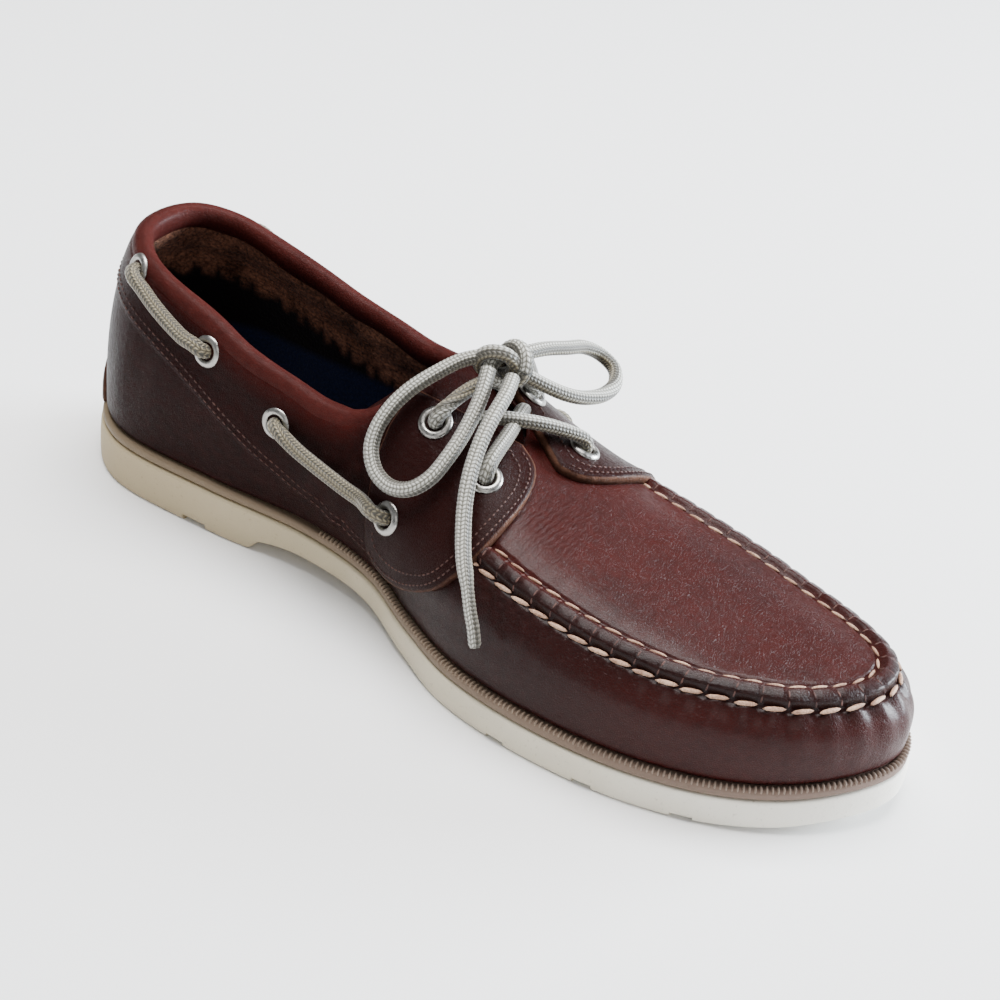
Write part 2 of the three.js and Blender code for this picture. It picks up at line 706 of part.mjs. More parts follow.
addPart('lace_knot', knotSolid(), COLORS.lace, 0.8);
addPart('lace_loop_medial', cordSolid(LOOP_MEDIAL, 20), COLORS.lace, 0.8);
addPart('lace_loop_lateral', cordSolid(LOOP_LATERAL, 18), COLORS.lace, 0.8);
addPart('lace_end_medial', cordSolid(END_MEDIAL, 14), COLORS.lace, 0.8);
addPart('lace_end_lateral', cordSolid(END_LATERAL, 10), COLORS.lace, 0.8);

// The origin is under the middle of the shoe's box, without the bow.
const group = new THREE.Group();
parts.forEach((mesh) => group.add(mesh));
const middle = held.getCenter(new THREE.Vector3());
group.position.set(-middle.x, -middle.y, -held.min.z);
export default group;
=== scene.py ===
import math

import bmesh
import bpy
import numpy as np
from mathutils import Matrix, Vector
from mathutils.bvhtree import BVHTree


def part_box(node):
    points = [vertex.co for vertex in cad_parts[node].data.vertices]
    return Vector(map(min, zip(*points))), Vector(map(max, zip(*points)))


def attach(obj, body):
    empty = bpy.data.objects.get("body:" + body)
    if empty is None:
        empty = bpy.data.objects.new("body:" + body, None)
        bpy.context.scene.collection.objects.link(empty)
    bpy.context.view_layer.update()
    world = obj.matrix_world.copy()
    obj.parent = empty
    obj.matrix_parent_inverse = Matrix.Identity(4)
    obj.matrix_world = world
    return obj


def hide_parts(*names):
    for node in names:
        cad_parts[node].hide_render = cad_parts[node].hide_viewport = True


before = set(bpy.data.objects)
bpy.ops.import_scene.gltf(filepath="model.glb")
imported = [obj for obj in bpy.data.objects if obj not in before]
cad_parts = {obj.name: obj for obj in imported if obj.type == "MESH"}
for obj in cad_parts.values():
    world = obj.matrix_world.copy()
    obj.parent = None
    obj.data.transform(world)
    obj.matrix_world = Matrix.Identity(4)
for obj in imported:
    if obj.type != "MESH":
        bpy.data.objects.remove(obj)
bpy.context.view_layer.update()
MM = 0.001

# ---------------------------------------------------------------------------
# Camera: level with the eyes of someone bending over the shoe from its inner,
# front side, and turned a little so that the sole runs down to the right.
sole_low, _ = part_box("outsole")
CAMERA_TARGET = Vector((sole_low.x + 0.150, 0.004, 0.036))
CAMERA_PLACE = Vector((sole_low.x + 0.4476, -0.4650, 0.3860))
CAMERA_ROLL = math.radians(7.1)
CAMERA_LENS = 79.0

camera_data = bpy.data.cameras.new("camera")
camera_data.lens = CAMERA_LENS
camera_data.clip_start = 0.01
camera = bpy.data.objects.new("camera", camera_data)
bpy.context.scene.collection.objects.link(camera)
look = (CAMERA_TARGET - CAMERA_PLACE).to_track_quat("-Z", "Y").to_matrix().to_4x4()
camera.matrix_world = Matrix.Translation(CAMERA_PLACE) @ look @ Matrix.Rotation(CAMERA_ROLL, 4, "Z")
bpy.context.scene.camera = camera

# ---------------------------------------------------------------------------
# The last: the wooden form that the upper is pulled over. Everything made of
# leather is laid on it. Sizes in millimetres, x from the heel to the toe, y
# to the outer side, z up, as in the shoe's own drawing.
HEEL_SPINE_X = 30           # the heel's sections lean towards this point of the middle line
TOE_SPINE_X = 238           # and the toe's towards this one
GAP = 0.3                   # between pieces that lie on each other
WELT_THICKNESS = 3.2
WELT_STEP = 2.4             # from the sole's edge in to the leather
TOE_POINT = 12              # which point of the outline is the tip of the toe
OUTLINE_POINTS = 2200
PROFILE_SAMPLES = 200
HEEL_SHARE = 0.07           # the part of each side that goes round the back of the heel
AXIS_HEIGHT = 30            # of the line that angles round the shoe are counted from
OFF_MIDDLE = 0.003          # keeps rays off the edges along the last's middle line


def table(columns, *rows):
    """A short table: the name of each column with the array of its values."""
    return dict(zip(columns.split(), np.array(rows, float).T))


SOLE_OUTLINE = np.array([
    (-9, 1), (-4, -18), (14, -31), (55, -32), (92, -28.5), (118, -31.5), (140, -41.5), (164, -51),
    (196, -54), (229, -49.5), (259, -36), (278, -16), (283, 0), (276, 17), (250, 35), (216, 46),
    (180, 49.5), (140, 44), (100, 37.5), (55, 35), (14, 32.5), (-4, 19)], float)

SOLE_SECTIONS = table(
    "x base top",
    (-9, 0, 14.5), (40, 0, 14.5), (70, 0, 14.2), (75, 3.8, 14), (88, 5.2, 13.6), (106, 5, 12.8),
    (126, 3.6, 11.4), (144, 1.4, 10), (160, 0, 9.6), (236, 0, 9.4), (262, 1.6, 10.6), (284, 4.6, 13))

LAST_SECTIONS = table(
    "x ridge middle square_in square_out belly_in belly_out",
    (-9, 100, 0, 2.5, 2.4, 0.5, 0.5),
    (30, 100, 0, 2.4, 2, 1.5, 0.5),
    (70, 94, 0, 2.3, 2.05, 4, 1),
    (100, 83.5, 1, 2.1, 2, 6, 1.5),
    (120, 74.5, 1, 2.1, 2, 5, 2),
    (134, 66.5, 1, 2.2, 2.1, 3.5, 2),
    (150, 58, 0, 2.5, 2.2, 2, 1.5),
    (165, 52, -1, 3, 2.3, 1, 1),
    (190, 48, -2, 3.6, 2.4, 1, 1),
    (215, 44.5, -3, 4.2, 2.5, 1, 1),
    (238, 41.5, -4, 4.6, 2.7, 1, 1),
    (284, 41.5, -2, 4.4, 3.4, 1, 1))


def along(rows, column, x):
    """Value of a column at x, on a smooth curve that never overshoots its rows."""
    at, value = rows["x"], rows[column]
    step = np.diff(at)
    slope = np.diff(value) / step
    before, after = slope[:-1], slope[1:]
    total = np.where(before + after == 0, 1, before + after)
    inner = np.where(before * after > 0, 2 * before * after / total, 0)
    slopes = np.concatenate([[0], inner, [0]])
    x = np.clip(x, at[0], at[-1])
    i = np.clip(np.searchsorted(at, x, side="right") - 1, 0, len(at) - 2)
    s = (x - at[i]) / step[i]
    rise = s * s * (3 - 2 * s)
    bend = slopes[i] * s * (1 - s) ** 2 - slopes[i + 1] * s * s * (1 - s)
    return value[i] * (1 - rise) + value[i + 1] * rise + step[i] * bend


def smoothstep(low, high, value):
    t = np.clip((np.asarray(value, float) - low) / (high - low), 0, 1)
    return t * t * (3 - 2 * t)


def unit(vectors):
    """Vectors along the last axis, brought to length 1."""
    return vectors / np.maximum(np.linalg.norm(vectors, axis=-1, keepdims=True), 1e-9)


def run_of(points):
    """The distance run along a line at each of its points."""
    return np.concatenate([[0], np.cumsum(np.linalg.norm(np.diff(points, axis=0), axis=1))])


def walk(at, run, points):
    """Places at given runs along a line."""
    return np.stack([np.interp(at, run, column) for column in points.T], 1)


def spline(points, count, closed=False):
    """Points along a smooth curve through the given ones, evenly by parameter."""
    points = np.asarray(points, float)
    n = len(points)
    if not closed:
        points = np.vstack([2 * points[0] - points[1], points, 2 * points[-1] - points[-2]])
    spans = n if closed else n - 1
    t = np.arange(count) * spans / count if closed else np.linspace(0, spans, count)
    i = np.minimum(t.astype(int), spans - 1)
    w = (t - i)[:, None]
    if closed:
        x0, x1, x2, x3 = (points[(i + k) % n] for k in (-1, 0, 1, 2))
    else:
        x0, x1, x2, x3 = (points[i + k] for k in (0, 1, 2, 3))

    def gap(a, b):
        return np.maximum(((a - b) ** 2).sum(1, keepdims=True) ** 0.25, 1e-6)

    d0, d1, d2 = gap(x0, x1), gap(x1, x2), gap(x2, x3)
    t1 = ((x1 - x0) / d0 - (x2 - x0) / (d0 + d1) + (x2 - x1) / d1) * d1
    t2 = ((x2 - x1) / d1 - (x3 - x1) / (d1 + d2) + (x3 - x2) / d2) * d1
    return (x1 + t1 * w + (-3 * x1 + 3 * x2 - 2 * t1 - t2) * w ** 2
            + (2 * x1 - 2 * x2 + t1 + t2) * w ** 3)


outline_middle = spline(SOLE_OUTLINE, OUTLINE_POINTS, closed=True)
outline_way = unit(np.roll(outline_middle, -1, 0) - np.roll(outline_middle, 1, 0))
outline_out = np.stack([outline_way[:, 1], -outline_way[:, 0]], 1)


def outline(push):
    """The sole's edge seen from above, pushed outwards."""
    return outline_middle + outline_out * push


# From the drawing's millimetres to the frame's metres.
ORIGIN = np.array(Vector((
    sole_low.x / MM - outline_middle[:, 0].min(),
    sole_low.y / MM - outline_middle[:, 1].min(),
    0)))


def to_frame(points):
    return (np.asarray(points, float) + ORIGIN) * MM


def sole_top(x):
    return along(SOLE_SECTIONS, "top", x)


def feather(x):
    """Height of the line where the leather meets the rand."""
    return sole_top(x) + 2 * GAP + WELT_THICKNESS


def ring(push, stations, toe_steps, heel_steps):
    """Points round the edge, once round from the heel along the inner side,
    each with the point of the middle line that its section leans towards."""
    line = outline(push)
    half = int(OUTLINE_POINTS * TOE_POINT / len(SOLE_OUTLINE))
    index = np.arange(OUTLINE_POINTS + 1)
    line = np.vstack([line, line[:1]])
    round_heel = int(HEEL_SHARE * half)
    ahead = slice(round_heel, half + 1)
    back = slice(half, OUTLINE_POINTS - round_heel)
    inner = np.interp(stations, line[ahead, 0], index[ahead])
    outer = np.interp(-stations, -line[back, 0], index[back])
    toe = np.linspace(inner[-1], outer[-1], toe_steps + 1)[1:-1]
    heel = np.linspace(outer[0], inner[0] + OUTLINE_POINTS, heel_steps + 1)[1:-1]
    edge = walk(np.mod(np.concatenate([inner, toe, outer[::-1], heel]), OUTLINE_POINTS), index, line)
    x = np.concatenate([stations, np.full(len(toe), float(TOE_SPINE_X)),
                        stations[::-1], np.full(len(heel), float(HEEL_SPINE_X))])
    return edge, np.stack([x, along(LAST_SECTIONS, "middle", x)], 1)


def last_profiles(edge, spine):
    """The section of the last at each point of a ring: points from the feather
    line up to the ridge, an array of columns by samples by xyz."""
    turn = np.linspace(0, 1, PROFILE_SAMPLES)[None, :] * math.pi / 2
    lean = edge - spine
    reach = np.linalg.norm(lean, axis=1)[:, None]
    out = lean / reach
    floor = feather(edge[:, 0])[:, None]
    rise = along(LAST_SECTIONS, "ridge", spine[:, 0])[:, None] - floor
    outer = smoothstep(-0.9, 0.9, out[:, 1])

    def mixed(column):
        inside = along(LAST_SECTIONS, column + "_in", edge[:, 0])
        outside = along(LAST_SECTIONS, column + "_out", edge[:, 0])
        return (inside * (1 - outer) + outside * outer)[:, None]

    power = 2 / mixed("square")
    up = np.sin(turn) ** power
    flat = np.maximum(np.cos(turn), 0) ** power
    flat[:, -1] = 0
    swell = mixed("belly") * np.sin(math.pi * np.minimum(1, up / 0.85))
    far = np.maximum(0, reach * flat + swell)
    xy = spine[:, None, :] + out[:, None, :] * far[:, :, None]
    return np.concatenate([xy, (floor + rise * up)[:, :, None]], 2)


def band_faces(columns, rows):
    """Quads over a closed band of columns of points, as the numbers of their points."""
    i, j = np.meshgrid(np.arange(columns), np.arange(rows - 1), indexing="ij")
    a = i * rows + j
    b = (i + 1) % columns * rows + j
    return np.stack([a, b, b + 1, a + 1], -1).reshape(-1, 4)


def band_mesh(name, points, flip=False, caps=()):
    """A mesh over a closed band of columns by rows by xyz, in the drawing's millimetres."""
    quads = band_faces(*points.shape[:2])
    mesh = bpy.data.meshes.new(name)
    mesh.from_pydata(to_frame(points.reshape(-1, 3)).tolist(), [],
                     (quads[:, ::-1] if flip else quads).tolist() + list(caps))
    return mesh


def mend(mesh, merge=False, turn_out=True):
    """Merges points that fall together, cuts up big faces and turns all faces outwards."""
    work = bmesh.new()
    work.from_mesh(mesh)
    if merge:
        bmesh.ops.remove_doubles(work, verts=work.verts, dist=0.00002)
    bmesh.ops.triangulate(work, faces=[face for face in work.faces if len(face.verts) > 4])
    if turn_out:
        bmesh.ops.recalc_face_normals(work, faces=work.faces)
    work.to_mesh(mesh)
    work.free()


def mark(mesh, name, values):
    """Gives the points of a mesh a value each, for the material to read."""
    attribute = mesh.attributes.new(name, "FLOAT", "POINT")
    attribute.data.foreach_set("value", np.asarray(values, np.float32).ravel())


def add_object(name, mesh, material=None):
    piece = bpy.data.objects.new(name, mesh)
    bpy.context.scene.collection.objects.link(piece)
    if material is not None:
        mesh.materials.append(material)
    mesh.polygons.foreach_set("use_smooth", [True] * len(mesh.polygons))
    return piece


def shoe_piece(name, mesh, material, stands_for=None):
    """A piece of the shoe, which may stand for a solid of the drawing."""
    piece = add_object(name, mesh, material)
    if stands_for:
        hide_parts(stands_for)
    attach(piece, "root")
    return piece


def thicken(piece, thickness):
    skin = piece.modifiers.new("thickness", "SOLIDIFY")
    skin.thickness = thickness * MM
    skin.offset = -1


last_edge, last_spine = ring(-WELT_STEP, np.linspace(HEEL_SPINE_X, TOE_SPINE_X, 120), 60, 44)
last_rows = np.r_[0:PROFILE_SAMPLES - 3:4, PROFILE_SAMPLES - 1]
last_points = last_profiles(last_edge, last_spine)[:, last_rows]
last_tree = BVHTree.FromPolygons(last_points.reshape(-1, 3).tolist(),
                                 band_faces(*last_points.shape[:2]).tolist())


def project(point, way, reach=60):
    """The place on the last under a point, looking against a way, and its facing."""
    hit, facing, _, _ = last_tree.ray_cast(point + way * reach, -way)
    if hit is None:
        hit, facing, _, _ = last_tree.find_nearest(point)
    return hit, -facing if facing.dot(way) < 0 else facing


def on_last(x, side, angle, lift=0.0):
    """A place on the last by distance from the heel and angle round the shoe's
    axis, lifted off it, with the way the surface faces there."""
    turn = math.radians(angle)
    way = Vector((0, side * math.cos(turn), math.sin(turn)))
    hit, facing = project(Vector((x, OFF_MIDDLE, AXIS_HEIGHT)), way, 150)
    return hit + facing * lift, facing


# ---------------------------------------------------------------------------
# Floor and light: a pale sheet of paper under soft boxes.
def surface(name, values):
    """A material with values on its shader's sockets, its tree and its shader."""
    material = bpy.data.materials.new(name)
    material.use_nodes = True
    shader = material.node_tree.nodes["Principled BSDF"]
    for label, value in values.items():
        shader.inputs[label].default_value = value
    return material, material.node_tree, shader


FLOOR = 6.0
floor_mesh = bpy.data.meshes.new("floor")
floor_mesh.from_pydata(
    [(-FLOOR, -FLOOR, 0), (FLOOR, -FLOOR, 0), (FLOOR, FLOOR, 0), (-FLOOR, FLOOR, 0)],
    [], [(0, 1, 2, 3)])
floor_paper, _, _ = surface("floor_paper", {"Base Color": (0.93, 0.93, 0.93, 1), "Roughness": 0.9})
floor = add_object("floor", floor_mesh, floor_paper)


def soft_box(name, place, size, power, color, target=(0, 0, 0.03)):
    data = bpy.data.lights.new(name, "AREA")
    data.shape = "RECTANGLE"
    data.size, data.size_y = size
    data.energy = power
    data.color = color
    lamp = bpy.data.objects.new(name, data)
    aim = (Vector(target) - Vector(place)).to_track_quat("-Z", "Y")
    lamp.matrix_world = Matrix.Translation(place) @ aim.to_matrix().to_4x4()
    bpy.context.scene.collection.objects.link(lamp)


soft_box("light_top", (-0.10, 0.15, 1.30), (1.1, 0.9), 52, (1.0, 0.99, 0.98))
soft_box("light_window", (0.88, 1.08, 0.32), (0.8, 0.5), 92, (0.84, 0.92, 1.0))
soft_box("light_fill", (0.75, -0.95, 0.75), (0.7, 0.5), 3, (1.0, 0.97, 0.94))
world = bpy.data.worlds.new("studio")
world.use_nodes = True
world.node_tree.nodes["Background"].inputs["Color"].default_value = (0.93, 0.96, 1, 1)
world.node_tree.nodes["Background"].inputs["Strength"].default_value = 0.38
bpy.context.scene.world = world

# ---------------------------------------------------------------------------
# Upper: pull-up cowhide in a dark red-brown. The wall of the vamp is gathered
# up to the plug on top and hand-sewn into a raised seam; the quarters carry a
# broad band round the collar. Cut as flat pieces, wetted and pulled on the last.
def node(tree, kind, inputs=(), **settings):
    """Adds a node to a tree, with values or links for its inputs by name or number."""
    made = tree.nodes.new(kind)
    for key, value in settings.items():
        setattr(made, key, value)
    wire(tree, made, dict(inputs))
    return made


def wire(tree, target, inputs):
    """Sets a node's inputs, by name or number, to values or to other nodes' sockets."""
    for key, value in inputs.items():
        if isinstance(value, bpy.types.NodeSocket):
            tree.links.new(value, target.inputs[key])
        else:
            target.inputs[key].default_value = value


def group_tree(name, kind, inputs, outputs):
    """A node group with its two ends. Inputs are triples of name, kind of socket
    and default value, outputs are pairs."""
    tree = bpy.data.node_groups.new(name, kind)
    for label, socket, value in inputs:
        made = tree.interface.new_socket(name=label, in_out="INPUT", socket_type="NodeSocket" + socket)
        if value is not None:
            made.default_value = value
    for label, socket in outputs:
        tree.interface.new_socket(name=label, in_out="OUTPUT", socket_type="NodeSocket" + socket)
    return tree, tree.nodes.new("NodeGroupInput"), tree.nodes.new("NodeGroupOutput")


def mix_colors(tree, factor, first, second, blend="MIX"):
    first, second = ((*c, 1) if isinstance(c, tuple) else c for c in (first, second))
    return node(tree, "ShaderNodeMix", {0: factor, 6: first, 7: second},
                data_type="RGBA", blend_type=blend).outputs[2]


def math_node(tree, operation, *values):
    return node(tree, "ShaderNodeMath", dict(enumerate(values)), operation=operation).outputs[0]


def remap(tree, value, low, high, bottom=0.0, top=1.0):
    return node(tree, "ShaderNodeMapRange",
                {0: value, 1: low, 2: high, 3: bottom, 4: top}).outputs[0]


def noise(tree, place, scale, detail, roughness=0.5):
    return node(tree, "ShaderNodeTexNoise", {"Vector": place, "Scale": scale, "Detail": detail,
                                             "Roughness": roughness}).outputs[0]


def bump(tree, height, distance, strength=1.0):
    return node(tree, "ShaderNodeBump", {"Height": height, "Distance": distance,
                                         "Strength": strength}).outputs[0]


def object_place(tree):
    return node(tree, "ShaderNodeTexCoord").outputs["Object"]


def attribute_of(tree, name):
    return node(tree, "ShaderNodeAttribute", attribute_name=name).outputs["Fac"]


# Leather: cloudy colour, pores and fine creases, and polish that comes and goes.
leather_finish, grain_in, grain_out = group_tree(
    "leather_finish", "ShaderNodeTree",
    [("Color", "Color", (0.1, 0.02, 0.015, 1)), ("Dark Color", "Color", (0.03, 0.01, 0.008, 1)),
     ("Gloss", "Float", 0.35), ("Grain", "Float", 1.0)],
    [("Color", "Color"), ("Roughness", "Float"), ("Height", "Float")])
place = object_place(leather_finish)
clouds = noise(leather_finish, place, 26.0, 5.0, 0.62)
spots = noise(leather_finish, place, 420.0, 3.0, 0.6)
pores = node(leather_finish, "ShaderNodeTexVoronoi", {"Vector": place, "Scale": 1500.0},
             feature="DISTANCE_TO_EDGE").outputs[0]
stretched = node(leather_finish, "ShaderNodeMapping",
                 {"Vector": place, "Rotation": (0.3, 0.2, 0.9), "Scale": (1.0, 3.2, 1.6)}).outputs[0]
wrinkles = noise(leather_finish, stretched, 300.0, 4.0, 0.55)
shade = math_node(leather_finish, "MULTIPLY", remap(leather_finish, clouds, 0.36, 0.68), 0.55)
shade = math_node(leather_finish, "ADD", shade, remap(leather_finish, spots, 0.30, 0.75, top=0.5))
height = math_node(leather_finish, "MULTIPLY", remap(leather_finish, pores, 0.0, 0.12), 0.35)
height = math_node(leather_finish, "ADD", height, wrinkles)
polish = math_node(leather_finish, "MULTIPLY_ADD", spots, 0.16, grain_in.outputs["Gloss"])
wire(leather_finish, grain_out, {
    "Color": mix_colors(leather_finish, shade, grain_in.outputs["Color"],
                        grain_in.outputs["Dark Color"]),
    "Roughness": math_node(leather_finish, "MULTIPLY_ADD", clouds, 0.12, polish),
    "Height": math_node(leather_finish, "MULTIPLY", height, grain_in.outputs["Grain"])})


def leather_material(name, color, dark, gloss=0.22, grain=1.0, shine=0.05, coat=0.02,
                     turned=None, folds=None):
    """Leather with the shared finish. Turned names an attribute, the values
    between which it takes over, and the colour that it turns the leather to;
    folds(tree) gives a height to add to the grain."""
    material, tree, shader = surface(name, {"Specular IOR Level": shine, "Coat Weight": coat,
                                            "Coat Roughness": 0.24})
    base = (*color, 1)
    if turned:
        attribute, low, high, other = turned
        mask = remap(tree, attribute_of(tree, attribute), low, high)
        base = mix_colors(tree, mask, color, other)
    finish = node(tree, "ShaderNodeGroup", {"Color": base, "Dark Color": (*dark, 1), "Gloss": gloss,
                                            "Grain": grain}, node_tree=leather_finish)
    height = finish.outputs["Height"]
    if folds:
        height = math_node(tree, "ADD", height, folds(tree))
    wire(tree, shader, {"Base Color": finish.outputs["Color"],
                        "Roughness": finish.outputs["Roughness"],
                        "Normal": bump(tree, height, 0.00045, 0.8)})
    return material


UPPER_TOE_STEPS = 134
UPPER_HEEL_STEPS = 44
TOPLINE = table("x z", (-30, 83.5), (0, 83), (16, 79.5), (34, 75), (50, 71), (65, 66), (80, 62.8),
                (95, 60), (101, 60), (106, 61.5), (112, 66), (118, 74), (122, 130))
THROAT_REAR = 100
THROAT_FRONT = 147
THROAT_HALF = table("x half", (100, 13), (138, 9), (143, 7.5), (146, 4.2), (147, 0))
SEAM_LINE = np.array([
    (150, -34.5), (165, -37.5), (180, -40.3), (204, -41.8), (220, -40.2), (234, -36.5),
    (247, -31), (257, -25), (266.5, -14.5), (271, -4), (270.5, 5), (265.5, 13), (257, 18.5),
    (246, 22.8), (229, 27.5), (212, 29), (194, 29.8), (181, 31), (168, 33.5), (150, 35)], float)
SEAM_HALF = 2.7             # half the width of the raised seam
SEAM_HEIGHT = 2.3
SEAM_REACH = 6.4            # how far close rows of points run on both sides of it
STITCH_PITCH = 6.8
NO_SEAM_SHARE = 0.58        # where those rows lie on a section that the seam doesn't cross
FADE_COLUMNS = 46           # how many sections they take to get there
BAND_EDGE = table("x z", (-9, 66), (12, 61.5), (24, 57.5), (37, 52.5), (49, 47), (61, 41), (72, 35.4),
                  (82, 31.5), (93, 28), (107, 24.6), (120, 22))
BAND_STEP = 0.5
QUARTER_STEP = 0.7
SIDE_SEAM_X = 122
COLLAR_FRONT_X = 104        # the padding has its full depth from here back
UPPER_THICKNESS = 1.4
COLLAR_THINNING = 1.9
FOOT_TUCK = 0.9
# Soft troughs where the leather folds: middle, side, length, slope, width and depth.
CREASES = table(
    "x z side length slope width depth",
    (104, 40, -1, 16, 62, 2.6, 0.55),
    (110, 33, -1, 14, 70, 2.2, 0.4),
    (96, 31, -1, 14, 40, 3.0, 0.35),
    (66, 50, -1, 20, -20, 3.5, 0.35),
    (140, 21, -1, 18, 18, 2.6, 0.35),
    (168, 27, -1, 22, 8, 3.2, 0.3),
    (104, 40, 1, 16, 62, 2.6, 0.5),
    (98, 33, 1, 16, 45, 2.6, 0.4),
    (70, 50, 1, 20, -20, 3.5, 0.35),
    (150, 24, 1, 20, 10, 3.0, 0.35),
    (180, 27, 1, 22, 6, 3.2, 0.3),
    (24, 42, -1, 16, 75, 4.0, 0.35),
    (20, 44, 1, 16, 75, 4.0, 0.35))

upper_stations = np.concatenate([np.linspace(HEEL_SPINE_X, 98, 32)[:-1],
                                 np.linspace(98, 124, 45)[:-1],
                                 np.linspace(124, TOE_SPINE_X, 116)])
upper_edge, upper_spine = ring(-WELT_STEP, upper_stations, UPPER_TOE_STEPS, UPPER_HEEL_STEPS)
columns_total = len(upper_edge)
upper_fine = last_profiles(upper_edge, upper_spine)
upper_arc = np.stack([run_of(section) for section in upper_fine])

# How far up each section goes: to the collar, to the throat or to the ridge.
fine_x, fine_y, fine_z = np.moveaxis(upper_fine, 2, 0)
throat = (np.interp(fine_x, THROAT_HALF["x"], THROAT_HALF["half"])
          - np.abs(fine_y - along(LAST_SECTIONS, "middle", fine_x)))
throat = np.where((fine_x < THROAT_FRONT) & (fine_x >= THROAT_REAR), throat, -1)
past = np.maximum(fine_z - along(TOPLINE, "z", fine_x), throat)
top_arc = upper_arc[:, -1].copy()
seam_arc = np.full(columns_total, np.nan)
seam_at = np.full(columns_total, np.nan)
seam_plan = spline(SEAM_LINE, 1200)
seam_run = run_of(seam_plan)
upper_half = slice(PROFILE_SAMPLES // 4, PROFILE_SAMPLES)
for c in range(columns_total):
    over = np.nonzero(past[c] > 0)[0]
    if len(over):
        k = max(over[0], 1)
        t = past[c, k - 1] / (past[c, k - 1] - past[c, k])
        top_arc[c] = upper_arc[c, k - 1] + t * (upper_arc[c, k] - upper_arc[c, k - 1])
    # The seam crosses the section where the seam's plan is on its line.
    lean = unit(upper_edge[c] - upper_spine[c])
    off = seam_plan - upper_spine[c]
    across = off[:, 0] * lean[1] - off[:, 1] * lean[0]
    ahead = off @ lean
    swap = np.nonzero((across[:-1] * across[1:] <= 0) & (ahead[:-1] > 0))[0]
    if len(swap):
        k = swap[0]
        t = across[k] / (across[k] - across[k + 1])
        reach = ahead[k] + t * (ahead[k + 1] - ahead[k])
        seam_at[c] = seam_run[k] + t * (seam_run[k + 1] - seam_run[k])
        distance = np.linalg.norm(upper_fine[c, :, :2] - upper_spine[c], axis=1)
        seam_arc[c] = np.interp(-reach, -distance[upper_half], upper_arc[c, upper_half])

has_seam = ~np.isnan(seam_arc)
first_seam, last_seam = np.nonzero(has_seam)[0][[0, -1]]
seam_share = seam_arc / top_arc
seam_arc = np.where(has_seam, seam_arc, NO_SEAM_SHARE * top_arc)
for k in range(1, FADE_COLUMNS):
    fade = smoothstep(0, FADE_COLUMNS, k)
    for end, c in ((first_seam, first_seam - k), (last_seam, (last_seam + k) % columns_total)):
        seam_arc[c] = top_arc[c] * (seam_share[end] * (1 - fade) + NO_SEAM_SHARE * fade)

# Rows: an even spread, and close together over the seam.
wall_rows = np.linspace(0, 1, 25)[:-1]
seam_rows = np.linspace(-1, 1, 33)
plug_rows = np.linspace(0, 1, 21)[1:]
low_edge = (seam_arc - SEAM_REACH)[:, None]
high_edge = (seam_arc + SEAM_REACH)[:, None]
row_arc = np.concatenate([
    low_edge * wall_rows, seam_arc[:, None] + SEAM_REACH * seam_rows,
    high_edge + (top_arc[:, None] - high_edge) * plug_rows], 1)


def on_sections(arcs):
    """Points on the upper's sections, at distances run up each of them."""
    return np.stack([walk(*column) for column in zip(arcs, upper_arc, upper_fine)])


def facing_of(points):
    """The way each point of a band of columns faces, outwards."""
    round_way = np.roll(points, -1, 0) - np.roll(points, 1, 0)
    return unit(np.cross(round_way, np.gradient(points, axis=1)))


upper_base = on_sections(row_arc)
upper_facing = facing_of(upper_base)
upper_facing[:, -1] = upper_facing[:, -2]
x, y, z = np.moveaxis(upper_base, 2, 0)

# The raised seam: d runs down the wall from the middle of the seam.
d = seam_arc[:, None] - row_arc
run = np.where(np.isnan(seam_at), 0, seam_at)[:, None]
shown = np.where(has_seam, 1.0, 0.0)[:, None]
total_run = seam_run[-1]
stitch_count = int(round(total_run / STITCH_PITCH))
phase = run / total_run * stitch_count
between = np.abs(phase - np.round(phase))       # 0 at a stitch hole, 0.5 between two
wave = np.cos(2 * math.pi * phase)
bead = 1 - smoothstep(SEAM_HALF - 1.1, SEAM_HALF + 0.5, np.abs(d))
pillow = 1 - 0.17 * np.exp(-(between * STITCH_PITCH / 0.8) ** 2)
crown = 1 - 0.12 * (d / SEAM_HALF) ** 2
groove = np.exp(-((np.abs(d) - SEAM_HALF - 1.2) / 0.75) ** 2) * np.where(d < 0, 1.3, 1.0)
gather = wave * np.exp(-np.maximum(d - 4, 0) / 7.5) * smoothstep(2.6, 4.6, d)
pinch = wave * np.exp(-np.maximum(-d - 3.6, 0) / 2.6) * smoothstep(2.6, 4.2, -d)
relief = shown * (SEAM_HEIGHT * bead * pillow * crown - 0.35 * groove
                  - (0.15 + 0.45 * smoothstep(170, 262, x)) * gather - 0.13 * pinch)

# The band round the collar and the seam down the side lie a little proud.
band_z = along(BAND_EDGE, "z", x)
quarter = 1 - smoothstep(SIDE_SEAM_X - 0.5, SIDE_SEAM_X + 0.5, x)
relief += quarter * (BAND_STEP * smoothstep(-0.45, 0.45, z - band_z) + QUARTER_STEP)

# Folds placed one by one.
for fold_x, fold_z, fold_side, length, slope, width, depth in zip(*CREASES.values()):
    slope = math.radians(slope)
    dx, dz = x - fold_x, z - fold_z
    down = dx * math.cos(slope) + dz * math.sin(slope)
    across = -dx * math.sin(slope) + dz * math.cos(slope)
    trough = np.exp(-(across / width) ** 2) - 0.55 * np.exp(-((across - 2.1 * width) / width) ** 2)
    relief -= depth * trough * np.exp(-(np.abs(down) / length) ** 3) * (np.sign(y) == fold_side)

